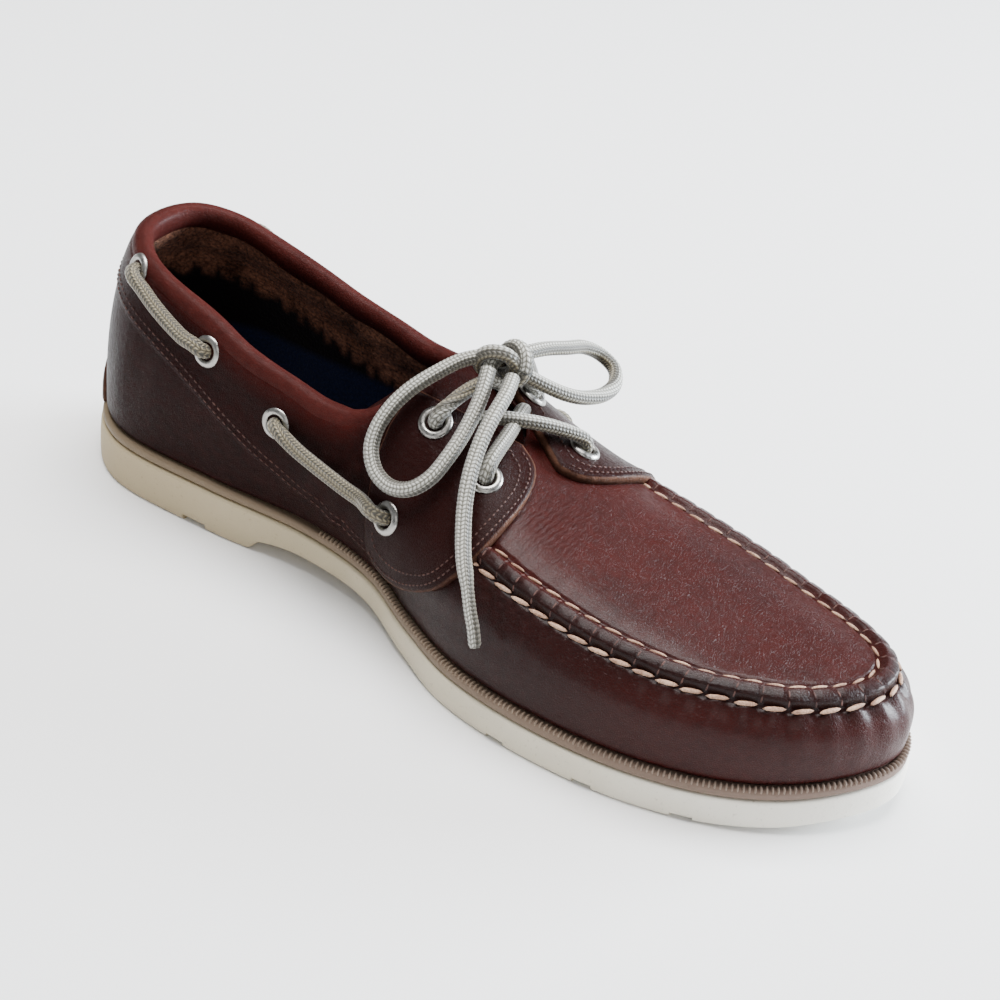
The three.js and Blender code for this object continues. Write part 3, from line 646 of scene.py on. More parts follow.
# It thins towards the collar and tucks in under itself just above the rand.
from_top = top_arc[:, None] - row_arc
collar_zone = smoothstep(SIDE_SEAM_X, COLLAR_FRONT_X, x)
relief -= COLLAR_THINNING * smoothstep(5, 0.5, from_top) * collar_zone
relief -= FOOT_TUCK * (1 - smoothstep(0, 2.2, row_arc)) ** 2
upper_points = upper_base + upper_facing * relief[:, :, None]
to_ridge = top_arc >= upper_arc[:, -1] - 1e-6
upper_points[to_ridge, -1] = upper_base[to_ridge, -1]

LEATHER = (0.041, 0.0062, 0.0048)
LEATHER_DARK = (0.020, 0.0042, 0.0036)
# The next colour is painted shade: the upper's leather as it shows on walls and quarters that face away
# from the light.
SHADED_WALL_LEATHER = (0.0062, 0.0015, 0.0011)
FLEX_PLACE = (171, -21, 62)


def flex_creases(tree):
    """Flex creases across the plug, just in front of the inner stay."""
    place = object_place(tree)
    creases = node(tree, "ShaderNodeTexWave", {"Vector": place, "Scale": 170.0, "Distortion": 5.0,
                                               "Detail": 3.0, "Detail Scale": 1.4}).outputs[0]
    away = node(tree, "ShaderNodeVectorMath", {0: place, 1: tuple(to_frame(FLEX_PLACE))},
                operation="DISTANCE").outputs["Value"]
    away = math_node(tree, "MULTIPLY_ADD", noise(tree, place, 130.0, 2.0), 0.018, away)
    near = remap(tree, away, 0.032, 0.014)
    return math_node(tree, "MULTIPLY", math_node(tree, "MULTIPLY", creases, near), 0.9)


# Painted shade: the walls under the seam and the quarters are darkened, as sides that face away from
# the light; less so low on the toe wall and near the collar's top, which face the light. The red shows
# where the plug lies on top.
wall_shade_mask = smoothstep(-2.6, 1.0, d) * shown
wall_shade_mask *= 1 - 0.9 * smoothstep(172, 245, x) * smoothstep(1.5, 11, d)
plug_rear = smoothstep(118, 128, x) * smoothstep(31, 26, np.abs(y))
wall_shade_mask = np.maximum(wall_shade_mask, (1 - shown) * (1 - plug_rear))
wall_shade_mask *= 1 - 0.9 * smoothstep(12, 3, from_top) * collar_zone
painted_wall_shade = ("wall", 0.0, 1.0, SHADED_WALL_LEATHER)
upper_mesh = band_mesh("upper_leather", upper_points)
mark(upper_mesh, "wall", wall_shade_mask)
upper_piece = shoe_piece(
    "upper_leather", upper_mesh,
    leather_material("vamp_leather", LEATHER, LEATHER_DARK, shine=0.07, coat=0.13, turned=painted_wall_shade,
                     folds=flex_creases), "upper")
upper_mesh.materials.append(leather_material("quarter_leather", LEATHER, LEATHER_DARK, shine=0.04,
                                             coat=0.0, turned=painted_wall_shade))
on_quarter = (x[:, :-1] < SIDE_SEAM_X).astype(np.int32)
upper_mesh.polygons.foreach_set("material_index", on_quarter.ravel())
mend(upper_mesh, merge=True)
thicken(upper_piece, UPPER_THICKNESS)

# ---------------------------------------------------------------------------
# Collar: a strip of softer leather rolled over a foam cord round the
# opening, turned inwards and sewn down along the edge of the lining. Its
# colour is painted lighter and redder than the upper's: painted light, where
# the roll faces up to the light.
ROLL_PROFILE = np.array([
    (-0.3, -8.0), (0.75, -6.6), (1.45, -4.8), (1.6, -2.8), (1.0, -0.8), (-0.6, 0.6), (-2.4, 0.8),
    (-3.9, 0.0), (-4.9, -1.8), (-5.1, -4.0), (-4.5, -6.2), (-3.2, -8.0), (-1.6, -9.4)], float)
ROLL_SPLIT_X = 110
ROLL_STEPS = 420
OPENING_MIDDLE = (60, 0, 60)


def tube_mesh(name, rings, closed=False, tip=None, uv_pitch=None, run=None):
    """A closed skin over rings of points, in the drawing's millimetres. A tube
    that isn't closed on itself gets ends, the last of them at the tip. With
    uv_pitch it gets a UV map: once round, and the run counted in pitches."""
    count, sides = rings.shape[:2]
    i, j = np.meshgrid(np.arange(count if closed else count - 1), np.arange(sides), indexing="ij")
    below = i * sides
    above = (i + 1) % count * sides
    after = (j + 1) % sides
    faces = np.stack([below + j, below + after, above + after, above + j], -1).reshape(-1, 4).tolist()
    points = rings.reshape(-1, 3)
    if not closed:
        tip = rings[-1].mean(0) if tip is None else tip
        points = np.vstack([points, rings[0].mean(0), tip])
        base, top = count * sides, (count - 1) * sides
        for k in range(sides):
            after = (k + 1) % sides
            faces += [[base, after, k], [base + 1, top + k, top + after]]
    mesh = bpy.data.meshes.new(name)
    mesh.from_pydata(to_frame(points).tolist(), [], faces)
    if uv_pitch:
        u = np.stack([j, j + 1, j + 1, j], -1) / sides
        far = np.append(run, run[0] + run[-1]) / uv_pitch
        v = np.stack([far[i], far[i], far[i + 1], far[i + 1]], -1)
        flat = np.stack([u, v], -1).reshape(-1, 2)
        ends = np.zeros((len(mesh.loops) - len(flat), 2))
        layer = mesh.uv_layers.new(name="run")
        layer.data.foreach_set("uv", np.vstack([flat, ends]).ravel().astype(np.float32))
    mend(mesh)
    return mesh


# The columns of the upper: the inner side, the toe, the outer side, the heel.
column = np.arange(columns_total)
column_x = upper_edge[:, 0]
on_inner = column < len(upper_stations)
on_outer = upper_edge[:, 1] > upper_spine[:, 1]
on_heel = column >= columns_total - (UPPER_HEEL_STEPS - 1)
collar_columns = np.concatenate([
    np.arange(np.argmax(on_outer & (column_x < ROLL_SPLIT_X)), columns_total),
    np.nonzero((column_x < ROLL_SPLIT_X) & ~on_outer & on_inner)[0]])
collar_line = spline(upper_base[collar_columns, -1][::2], ROLL_STEPS)
collar_up = unit(upper_base[collar_columns, -1] - upper_base[collar_columns, -4])
collar_up = walk(np.linspace(0, 1, ROLL_STEPS), np.linspace(0, 1, len(collar_up)), collar_up)
collar_up = unit(collar_up + (0, 0, 0.5))
collar_out = unit(np.cross(collar_up, unit(np.gradient(collar_line, axis=0))))
collar_out *= np.sign((collar_out * (collar_line - OPENING_MIDDLE)).sum(1))[:, None]
collar_run = run_of(collar_line)
swell = 1 + 0.04 * np.sin(collar_run / 9.0) + 0.03 * np.sin(collar_run / 4.1 + 2)
ends = np.minimum(smoothstep(0, 10, collar_run), smoothstep(0, 10, collar_run[-1] - collar_run))
grow = ((0.75 + 0.25 * ends) * swell)[:, None, None]
roll = spline(ROLL_PROFILE, 40, closed=True)[None]
collar_rings = (collar_line[:, None, :] + collar_out[:, None, :] * (roll[..., 0:1] * grow)
                + collar_up[:, None, :] * (roll[..., 1:2] * grow + 0.2))
# The roll's colour, lighter and redder than the upper's, is painted light from above.
shoe_piece("collar_roll", tube_mesh("collar_roll", collar_rings),
           leather_material("collar_leather", (0.056, 0.0110, 0.0088), (0.030, 0.0055, 0.0045),
                            gloss=0.3, grain=0.8))

# ---------------------------------------------------------------------------
# Lining: brown brushed pile round the collar, glued down over a smooth dark
# lining that runs to the toe. One skin inside the leather.
PILE_DEPTH = 27
PAD_DEPTH = 2.4
LINING_INSET = 2.0
LINING_THICKNESS = 0.4
LINING_LIFT = 2             # rows left off at the foot of the wall
fibre_seed = np.random.default_rng(5)
ragged = from_top + 2.2 * np.sin(x * 1.1)
pile = smoothstep(PILE_DEPTH + 2, PILE_DEPTH - 2, ragged) * collar_zone
pad = PAD_DEPTH * smoothstep(22, 10, from_top) * collar_zone
depth = LINING_INSET + pad + fibre_seed.normal(0, 0.22, pile.shape) * pile
below_roll = np.where(collar_zone > 0.5, np.minimum(row_arc, top_arc[:, None] - 2.5), row_arc)
lining_points = on_sections(below_roll) - facing_of(upper_base) * depth[:, :, None]
lining_mesh = band_mesh("lining", lining_points[:, LINING_LIFT:], flip=True)
mark(lining_mesh, "pile", pile[:, LINING_LIFT:])
lining_pile, tree, shader = surface("lining_pile", {"Roughness": 0.95, "Specular IOR Level": 0.05,
                                                    "Sheen Weight": 0.05})
place = object_place(tree)
tufts = noise(tree, place, 900.0, 4.0)
tone = math_node(tree, "MULTIPLY", tufts, noise(tree, place, 90.0, 3.0))
pile_color = mix_colors(tree, remap(tree, tone, 0.12, 0.45), (0.030, 0.012, 0.008), (0.33, 0.15, 0.09))
level = node(tree, "ShaderNodeSeparateXYZ", {0: place}).outputs[2]
smooth_color = mix_colors(tree, remap(tree, level, 0.037, 0.034), (0.006, 0.004, 0.005),
                          (0.010, 0.016, 0.045))
wire(tree, shader, {
    "Base Color": mix_colors(tree, attribute_of(tree, "pile"), smooth_color, pile_color),
    "Normal": bump(tree, tufts, 0.0009, 0.8)})
lining = shoe_piece("lining", lining_mesh, lining_pile)
mend(lining_mesh, merge=True, turn_out=False)
thicken(lining, LINING_THICKNESS)

# ---------------------------------------------------------------------------
# Stitches: waxed cotton. One tree lays a bead of thread at each point of a
# row, turned along the row and flat on the leather.
beads, beads_in, beads_out = group_tree(
    "thread_beads", "GeometryNodeTree",
    [("Geometry", "Geometry", None), ("Length", "Float", None), ("Width", "Float", None),
     ("Height", "Float", None), ("Material", "Material", None)],
    [("Geometry", "Geometry")])


def point_vector(name):
    return node(beads, "GeometryNodeInputNamedAttribute", {"Name": name},
                data_type="FLOAT_VECTOR").outputs[0]


ball = node(beads, "GeometryNodeMeshUVSphere", {"Segments": 8, "Rings": 6, "Radius": 0.5})
size = node(beads, "ShaderNodeCombineXYZ", {0: beads_in.outputs["Length"],
                                            1: beads_in.outputs["Width"],
                                            2: beads_in.outputs["Height"]})
one_bead = node(beads, "GeometryNodeTransform", {"Geometry": ball.outputs[0],
                                                 "Scale": size.outputs[0]})
turned = node(beads, "FunctionNodeAlignRotationToVector", {"Vector": point_vector("way")}, axis="X")
turned = node(beads, "FunctionNodeAlignRotationToVector",
              {"Rotation": turned.outputs[0], "Vector": point_vector("facing")},
              axis="Z", pivot_axis="X")
laid = node(beads, "GeometryNodeInstanceOnPoints",
            {"Points": beads_in.outputs["Geometry"], "Instance": one_bead.outputs[0],
             "Rotation": turned.outputs[0]})
laid = node(beads, "GeometryNodeRealizeInstances", {"Geometry": laid.outputs[0]})
laid = node(beads, "GeometryNodeSetShadeSmooth", {"Geometry": laid.outputs[0]})
laid = node(beads, "GeometryNodeSetMaterial", {"Geometry": laid.outputs[0],
                                               "Material": beads_in.outputs["Material"]})
wire(beads, beads_out, {0: laid.outputs[0]})


def baked(piece):
    """A new mesh of a piece with its modifiers worked in, which it then loses."""
    graph = bpy.context.evaluated_depsgraph_get()
    mesh = bpy.data.meshes.new_from_object(piece.evaluated_get(graph), depsgraph=graph)
    piece.modifiers.clear()
    return mesh


def lay_beads(name, points, ways, facings, size, material, slot):
    """Beads of one size at points in the drawing's millimetres, as one piece."""
    seeds = bpy.data.meshes.new(name + "_points")
    seeds.from_pydata(to_frame(points).tolist(), [], [])
    for label, values in (("way", ways), ("facing", facings)):
        attribute = seeds.attributes.new(label, "FLOAT_VECTOR", "POINT")
        attribute.data.foreach_set("vector", np.asarray(values, np.float32).ravel())
    holder = add_object(name + "_points", seeds)
    modifier = holder.modifiers.new("beads", "NODES")
    modifier.node_group = beads
    sockets = {item.name: item.identifier for item in beads.interface.items_tree
               if item.in_out == "INPUT"}
    for label, value in zip(("Length", "Width", "Height"), size):
        modifier[sockets[label]] = value * MM
    modifier[sockets["Material"]] = material
    mesh = baked(holder)
    mesh.name = name
    bpy.data.objects.remove(holder)
    shoe_piece(name, mesh, None)


thread_finish, thread_in, thread_out = group_tree(
    "thread_finish", "ShaderNodeTree",
    [("Light Color", "Color", (0.5, 0.35, 0.25, 1)), ("Dark Color", "Color", (0.2, 0.1, 0.07, 1))],
    [("Color", "Color"), ("Height", "Float")])
place = object_place(thread_finish)
twist = noise(thread_finish, place, 2200.0, 3.0)
tone = math_node(thread_finish, "MULTIPLY", twist, noise(thread_finish, place, 160.0, 2.0))
wire(thread_finish, thread_out, {
    "Color": mix_colors(thread_finish, remap(thread_finish, tone, 0.14, 0.36),
                        thread_in.outputs["Dark Color"], thread_in.outputs["Light Color"]),
    "Height": twist})


def thread_material(name, light, dark):
    material, tree, shader = surface(name, {"Base Color": (*light, 1), "Roughness": 0.7})
    finish = node(tree, "ShaderNodeGroup", {"Light Color": (*light, 1), "Dark Color": (*dark, 1)},
                  node_tree=thread_finish)
    wire(tree, shader, {"Base Color": finish.outputs["Color"],
                        "Normal": bump(tree, finish.outputs["Height"], 0.0002)})
    return material


seam_thread = thread_material("seam_thread", (0.56, 0.36, 0.25), (0.22, 0.11, 0.07))
crossing_thread = thread_material("crossing_thread", (0.10, 0.038, 0.028), (0.035, 0.012, 0.010))
fine_thread = thread_material("fine_thread", (0.075, 0.028, 0.020), (0.028, 0.010, 0.007))

upper_surface_facing = facing_of(upper_points)
upper_surface_facing[:, -1] = upper_surface_facing[:, -2]
seam_columns = np.nonzero(has_seam)[0]
seam_order = seam_columns[np.argsort(seam_at[seam_columns])]


def on_seam(run_at, down):
    """A place beside the seam, by the run along it and the distance down the
    wall, and the way that the leather faces there."""
    column = np.interp(run_at, seam_at[seam_order], np.arange(len(seam_order)))
    low = np.minimum(column.astype(int), len(seam_order) - 2)
    part = (column - low)[:, None]
    row = len(wall_rows) + (SEAM_REACH - down) / (2 * SEAM_REACH) * (len(seam_rows) - 1)
    row_low = int(row)
    row_part = row - row_low

    def pick(field):
        line = field[:, row_low] * (1 - row_part) + field[:, row_low + 1] * row_part
        return line[seam_order[low]] * (1 - part) + line[seam_order[low + 1]] * part

    return pick(upper_points), unit(pick(upper_surface_facing))


middles = (np.arange(1, stitch_count - 1) + 0.5) * total_run / stitch_count
for name, down, size, lift in (("seam_stitches_outer", 3.9, (6.6, 1.4, 1.5), 0.22),
                               ("seam_stitches_inner", -3.5, (5.2, 1.0, 1.1), 0.10)):
    places, facings = on_seam(middles, down)
    ways = on_seam(middles + 1.5, down)[0] - on_seam(middles - 1.5, down)[0]
    slant = np.cross(facings, ways) * 0.13
    lay_beads(name, places + facings * lift, ways + slant, facings, size, seam_thread, "leather")
holes = np.arange(1, stitch_count) * total_run / stitch_count
crossings = []
for down in (-2.3, 0.0, 2.3):
    places, facings = on_seam(holes, down)
    ways = on_seam(holes, down + 0.8)[0] - on_seam(holes, down - 0.8)[0]
    crossings.append((places - facings * 0.08, ways, facings))
lay_beads("seam_crossings", *map(np.vstack, zip(*crossings)), (2.2, 0.6, 0.5), crossing_thread,
          "leather")


BAND_STITCH_LINES = (1.4, 4.0)
BAND_STITCH_PITCH = 2.3


def evenly(points, facings, pitch):
    """Places along a line, a pitch apart, the line's way and what they face."""
    run = run_of(points)
    at = np.arange(0.5 * pitch, run[-1], pitch)
    ways = walk(at + 0.4, run, points) - walk(at - 0.4, run, points)
    return walk(at, run, points), ways, walk(at, run, facings)


def level_line(columns, level):
    """Where a field over the upper first rises through nought: points and facings."""
    line = []
    for c in columns:
        over = np.nonzero((level[c, :-1] < 0) & (level[c, 1:] >= 0))[0]
        if len(over):
            k = over[0]
            t = -level[c, k] / (level[c, k + 1] - level[c, k])
            line.append([field[c, k] * (1 - t) + field[c, k + 1] * t
                         for field in (upper_points, upper_surface_facing)])
    return np.array(line).swapaxes(0, 1)


on_quarters = column_x < SIDE_SEAM_X - 2
quarter_ring = np.concatenate([np.nonzero(on_heel | (on_outer & on_quarters & ~on_inner))[0],
                               np.nonzero(on_inner & on_quarters)[0]])
band_rows = [evenly(*level_line(quarter_ring, z - band_z - up), BAND_STITCH_PITCH)
             for up in BAND_STITCH_LINES]
places, ways, facings = map(np.vstack, zip(*band_rows))
lay_beads("band_stitches", places + facings * 0.05, ways, facings, (1.6, 0.55, 0.45), fine_thread,
          "leather")

# ---------------------------------------------------------------------------
# Lace stays: a flap of thick leather on each side of the throat, cut with raw
# edges, sewn down along its front and lower edges, and punched for the lace.
STAY_OUTLINE = np.array([
    (-21, 22.5), (13, 21.5), (20, 17), (24, 9), (24.5, -4), (22, -16), (15.5, -26), (4, -29.2),
    (-8, -27), (-14.5, -22.5), (-17.5, -13), (-20.5, -2), (-22, 10)], float)
STAY_CENTRE = Vector((138, 27, 52))
STAY_FACING = Vector((0.22, 0.72, 0.66)).normalized()
STAY_SHIFT = (11, -3)       # how far the outer stay lies from where the inner one would
STAY_THICKNESS = 2.4
STAY_LIFT = 0.75
STAY_ROUND = 2.2
SKIRT_DEPTH = 0.6           # how far a flap's edge goes down into the leather under it
RAW_WIDTH = 1.1             # how much of the cut edge shows its raw colour
STAY_STITCH_LINES = (1.8, 4.4)
STAY_STITCH_PITCH = 1.9
stay_leather = leather_material("stay_leather", (0.015, 0.0030, 0.0025), (0.012, 0.003, 0.0025),
                                turned=("edge", 0.45, 0.8, (0.12, 0.055, 0.034)))


def patch(name, line, middle, to_space, way, thickness, lift, edge_round, steps=26):
    """A flap laid on the last, rounded at its edge and closed underneath. The
    line is its outline in its own plane. Its cut edge is marked for the leather."""
    reach = np.linalg.norm(line - middle, axis=1)
    none = np.zeros(len(line))
    rows = [(0.5, none + lift - SKIRT_DEPTH, none), (1.0, none + lift - SKIRT_DEPTH, none + 1)]
    for share in 1 - np.arange(steps) / (steps - 1):
        inward = (1 - share) * reach
        bend = np.minimum(1, inward / edge_round)
        height = lift + thickness * (0.62 + 0.38 * np.sqrt(1 - (1 - bend) ** 2))
        rows.append((share, height, 1 - np.minimum(1, inward / RAW_WIDTH)))
    rings = []
    for share, height, _ in rows:
        laid = [project(to_space(flat), way) for flat in middle + (line - middle) * share]
        rings.append([hit + facing * up for (hit, facing), up in zip(laid, height.tolist())])
    rings = np.array(rings, float)
    mesh = tube_mesh(name, rings[:-1], tip=rings[-1].mean(0))
    mark(mesh, "edge", np.append([edge for _, _, edge in rows[:-1]], [0, 0]))
    return shoe_piece(name + "_leather", mesh, stay_leather, name)


def stay_plane(side):
    """The way a lace stay faces, and a function from its outline's plane into space."""
    way = Vector((STAY_FACING.x, side * STAY_FACING.y, STAY_FACING.z)).normalized()
    right = (Vector((1, 0, 0)) - way * way.x).normalized()
    up = way.cross(right)
    if up.z < 0:
        up = -up
    middle = Vector((STAY_CENTRE.x, side * STAY_CENTRE.y, STAY_CENTRE.z))

    def to_space(flat):
        return middle + right * float(flat[0]) + up * float(flat[1])

    return way, to_space


def cornered(points, count):
    """An outline in even steps: one smooth curve from its second point to its
    last, and straight lines from there to its first point and on to its second."""
    curve = spline(points[1:], count)
    closed = np.vstack([curve, points[:1], curve[:1]])
    run = run_of(closed)
    return walk(np.linspace(0, run[-1], count, endpoint=False), run, closed)


def inset(line, amount):
    way = unit(np.roll(line, -1, 0) - np.roll(line, 1, 0))
    normal = np.stack([way[:, 1], -way[:, 0]], 1)
    inward = np.sign(((line.mean(0) - line) * normal).sum())
    return line + normal * inward * amount


stay_rows = []
for side, name in ((-1, "lace_stay_medial"), (1, "lace_stay_lateral")):
    way, to_space = stay_plane(side)
    shift = np.array(STAY_SHIFT if side > 0 else (0, 0), float)
    line = cornered(STAY_OUTLINE, 220) + shift
    patch(name, line, line.mean(0), to_space, way, STAY_THICKNESS, STAY_LIFT, STAY_ROUND)
    for amount in STAY_STITCH_LINES:
        inner = inset(line, amount)
        across, up = (inner - shift).T
        order = np.nonzero((up < 19) & ((across > -12) | (up < -22)))[0]
        jump = np.nonzero(np.diff(order) > 1)[0]
        if len(jump):
            order = np.roll(order, -jump[0] - 1)
        laid = [project(to_space(flat), way) for flat in inner[order]]
        sewn = [hit + facing * (STAY_LIFT + STAY_THICKNESS + 0.05) for hit, facing in laid]
        facings = np.array([facing for _, facing in laid])
        stay_rows.append(evenly(np.array(sewn), facings, STAY_STITCH_PITCH))
lay_beads("stay_stitches", *map(np.vstack, zip(*stay_rows)), (1.25, 0.5, 0.4), fine_thread,
          "leather")

# ---------------------------------------------------------------------------
# Heel patch: a half moon of leather over the join of the quarters, sewn down.
HEEL_PATCH_HALF = 19
HEEL_PATCH_HEIGHT = 17.5
HEEL_PATCH_FOOT = 0.6
HEEL_PATCH_MIDDLE = 6.5
HEEL_PATCH_THICKNESS = 1.6
HEEL_PATCH_LIFT = 0.8
HEEL_PATCH_ROUND = 1.4
heel_way = Vector((-1, 0, 0.12)).normalized()
heel_floor = float(feather(np.array([-6.0]))[0])


def heel_space(flat):
    return Vector((-4, float(flat[0]), heel_floor + float(flat[1])))


turns = np.linspace(0, math.pi, 90)
foot = np.linspace(-HEEL_PATCH_HALF, HEEL_PATCH_HALF, 42)[1:-1]
half_moon = np.vstack([
    np.stack([HEEL_PATCH_HALF * np.cos(turns),
              HEEL_PATCH_HEIGHT * np.sin(turns) + HEEL_PATCH_FOOT], 1),
    np.stack([foot, np.full(len(foot), HEEL_PATCH_FOOT)], 1)])
patch("heel_patch", half_moon, np.array([0.0, HEEL_PATCH_MIDDLE]), heel_space, heel_way,
      HEEL_PATCH_THICKNESS, HEEL_PATCH_LIFT, HEEL_PATCH_ROUND, steps=16)

# ---------------------------------------------------------------------------
# Tongue: one thickness of soft leather under the lacing, its rear edge turned
# over a thin foam. It is stitched in under the front of the throat.
TONGUE_EDGE = table("z x", (0, 101), (57, 101), (69, 112), (74, 119), (90, 122), (140, 122))
TONGUE_FRONT = 168
TONGUE_REACH = 62           # degrees to each side of the top
TONGUE_DEPTH = 2.4          # from the last's face in to the tongue's
TONGUE_THICKNESS = 2.4
TONGUE_ROUND = 1.2
tongue_rings = []
for angle in np.linspace(-TONGUE_REACH, TONGUE_REACH, 62):
    side = 1 if angle >= 0 else -1
    turn = 90 - abs(angle)
    start = 118.0
    for _ in range(8):
        hit, _ = on_last(start, side, turn, -2.5)
        start = float(np.interp(hit.z, TONGUE_EDGE["z"], TONGUE_EDGE["x"]))
    top, low = [], []
    for run_in in np.linspace(0, 1, 60) * (TONGUE_FRONT - start):
        hit, facing = on_last(start + run_in, side, turn)
        edge = TONGUE_ROUND * (1 - min(1, run_in / 3.0)) ** 2
        lip = 0.9 * math.exp(-((run_in - 3.2) / 2.2) ** 2)
        top.append(hit + facing * (lip - TONGUE_DEPTH - edge))
        low.append(hit + facing * (edge - TONGUE_DEPTH - TONGUE_THICKNESS))
    tongue_rings.append(top + low[::-1])
shoe_piece("tongue_leather", tube_mesh("tongue_leather", np.array(tongue_rings, float)),
           leather_material("tongue_leather", (0.022, 0.0042, 0.0034), (0.012, 0.003, 0.0025)),
           "tongue")

# ---------------------------------------------------------------------------
# Insole: a moulded pad under a navy textile, laid loose on the sole.
INSOLE_THICKNESS = 4.5
INSOLE_INSET = 5.4
INSOLE_CUP = 2.6
insole_textile, tree, shader = surface("insole_textile", {"Base Color": (0.012, 0.020, 0.055, 1),
                                                          "Roughness": 0.9})
weave = noise(tree, object_place(tree), 1500.0, 2.0)
wire(tree, shader, {
    "Base Color": mix_colors(tree, weave, (0.003, 0.005, 0.014), (0.012, 0.019, 0.050)),
    "Normal": bump(tree, weave, 0.0003)})
insole_edge, insole_spine = ring(-INSOLE_INSET, np.linspace(HEEL_SPINE_X, TOE_SPINE_X, 90), 40, 30)
insole_rows = []
for share, level in ([(t, 0.0) for t in np.linspace(0, 0.98, 14)]
                     + [(0.995, 0.12), (1.0, 0.3), (1.0, 0.75), (0.993, 0.93)]
                     + [(t, 1.0) for t in np.linspace(0.975, 0, 22)]):
    flat = insole_spine + (insole_edge - insole_spine) * share
    cup = INSOLE_CUP * share ** 7 if level > 0.5 else 0.0
    height = sole_top(flat[:, 0]) + GAP + INSOLE_THICKNESS * level + cup
    insole_rows.append(np.column_stack([flat, height]))
insole_mesh = band_mesh("insole_pad", np.stack(insole_rows, 1))
shoe_piece("insole_pad", insole_mesh, insole_textile, "insole")
mend(insole_mesh, merge=True)

# ---------------------------------------------------------------------------
# Rand: a strip of moulded rubber between the upper and the sole. Its top is
# pressed into fine ribs round the forefoot and is smooth round the heel.
WELT_INSET = 0.5
RIB_PITCH = 1.55
RIB_INSET = 1.15
RIB_START = 96
RAND_HEIGHT = 3.2           # the height that the profile is drawn for
RAND_PROFILE = np.array([
    (-9, 0.0), (-0.9, 0.0), (-0.15, 0.5), (0, 1.2), (0, 2.2), (-0.35, 2.9), (-1.0, 3.15),
    (-1.9, 3.2), (-3.2, 3.3), (-9, 3.3)], float)
rand_rings = []
for push, rise in np.vstack([RAND_PROFILE[:1], spline(RAND_PROFILE[1:9], 22), RAND_PROFILE[9:]]):
    edge = outline(push - WELT_INSET)[::4]
    height = sole_top(edge[:, 0]) + GAP + rise * WELT_THICKNESS / RAND_HEIGHT
    rand_rings.append(np.column_stack([edge, height]))

# Rubber: specks of soil, and how far along the shoe a point is, a little blurred.
rubber_finish, _, rubber_out = group_tree(
    "rubber_finish", "ShaderNodeTree", [],
    [("Along", "Float"), ("Dirt", "Float"), ("Height", "Float")])
place = object_place(rubber_finish)
blur = math_node(rubber_finish, "MULTIPLY_ADD", noise(rubber_finish, place, 60.0, 4.0), 0.03, -0.015)
split = node(rubber_finish, "ShaderNodeSeparateXYZ", {0: place})
soil = noise(rubber_finish, place, 900.0, 5.0)
wire(rubber_finish, rubber_out, {
    "Along": math_node(rubber_finish, "ADD", blur, split.outputs[0]),
    "Dirt": remap(rubber_finish, soil, 0.62, 0.78, top=0.35),
    "Height": soil})


def rubber_material(name, stops):
    """Rubber whose colour changes slowly from the heel to the toe; stops pair a
    place in the frame with a colour."""
    color = stops[0][1]
    material, tree, shader = surface(name, {"Base Color": (*color, 1), "Roughness": 0.62,
                                            "Specular IOR Level": 0.3})
    finish = node(tree, "ShaderNodeGroup", node_tree=rubber_finish)
    for (start, _), (stop, shade) in zip(stops, stops[1:]):
        color = mix_colors(tree, remap(tree, finish.outputs["Along"], start, stop), color, shade)
    wire(tree, shader, {
        "Base Color": mix_colors(tree, finish.outputs["Dirt"], color, (0.30, 0.24, 0.17), "MULTIPLY"),
        "Normal": bump(tree, finish.outputs["Height"], 0.00008)})
    return material


rand_rubber = rubber_material("rand_rubber", [
    (-0.15, (0.17, 0.125, 0.075)), (0.02, (0.15, 0.105, 0.07)), (0.15, (0.15, 0.10, 0.078))])
rib_rubber = rubber_material("rib_rubber", [
    (-0.15, (0.20, 0.15, 0.095)), (0.02, (0.21, 0.155, 0.11)), (0.15, (0.24, 0.18, 0.145))])
shoe_piece("rand", tube_mesh("rand", np.stack(rand_rings, 1), closed=True), rand_rubber,
           "welt")
rib_edge = outline(-WELT_INSET - RIB_INSET)
rib_line = np.column_stack([rib_edge, sole_top(rib_edge[:, 0]) + GAP + WELT_THICKNESS - 0.05])
rib_out = np.column_stack([outline_out, np.zeros(OUTLINE_POINTS)])
ribbed = rib_line[:, 0] > RIB_START
places, _, outs = evenly(rib_line[ribbed], rib_out[ribbed], RIB_PITCH)
lay_beads("rand_ribs", places, outs, outs * 0.35 + (0, 0, 1), (2.9, 0.8, 1.9), rib_rubber,
          "rand_rubber")

# ---------------------------------------------------------------------------
# Outsole: one moulding of pale non-marking rubber, with a low heel, a hollow
# waist and shallow slots across its tread.
SOLE_ROUND = 1.2
SOLE_SWELL = 0.25
TREAD_SLOTS = ((50, 9, 2.0), (184, 6, 1.6), (213, 6, 1.6), (241, 6, 1.6))
# Its section: how far out of the edge, what part of the way up, and what is added.
bend = np.linspace(0, math.pi / 2, 6)
sole_section = (
    [(-9, 0, 0), (-4, 0, 0)]
    + [(-SOLE_ROUND * (1 - math.sin(t)), 0, SOLE_ROUND * (1 - math.cos(t))) for t in bend]
    + [(SOLE_SWELL * math.sin(math.pi * p), p, SOLE_ROUND * (1 - 2 * p)) for p in (0.25, 0.5, 0.75)]
    + [(-SOLE_ROUND * (1 - math.cos(t)), 1, -SOLE_ROUND * (1 - math.sin(t))) for t in bend]
    + [(-4, 1, 0), (-9, 1, 0)])
sole_rows = []
for push, part, add in sole_section:
    edge = outline(push)[::3]
    low, high = along(SOLE_SECTIONS, "base", edge[:, 0]), sole_top(edge[:, 0])
    sole_rows.append(np.column_stack([edge, low * (1 - part) + high * part + add]))
sole_points = np.stack(sole_rows, 1)
numbers = np.arange(sole_points[..., 0].size).reshape(sole_points.shape[:2])
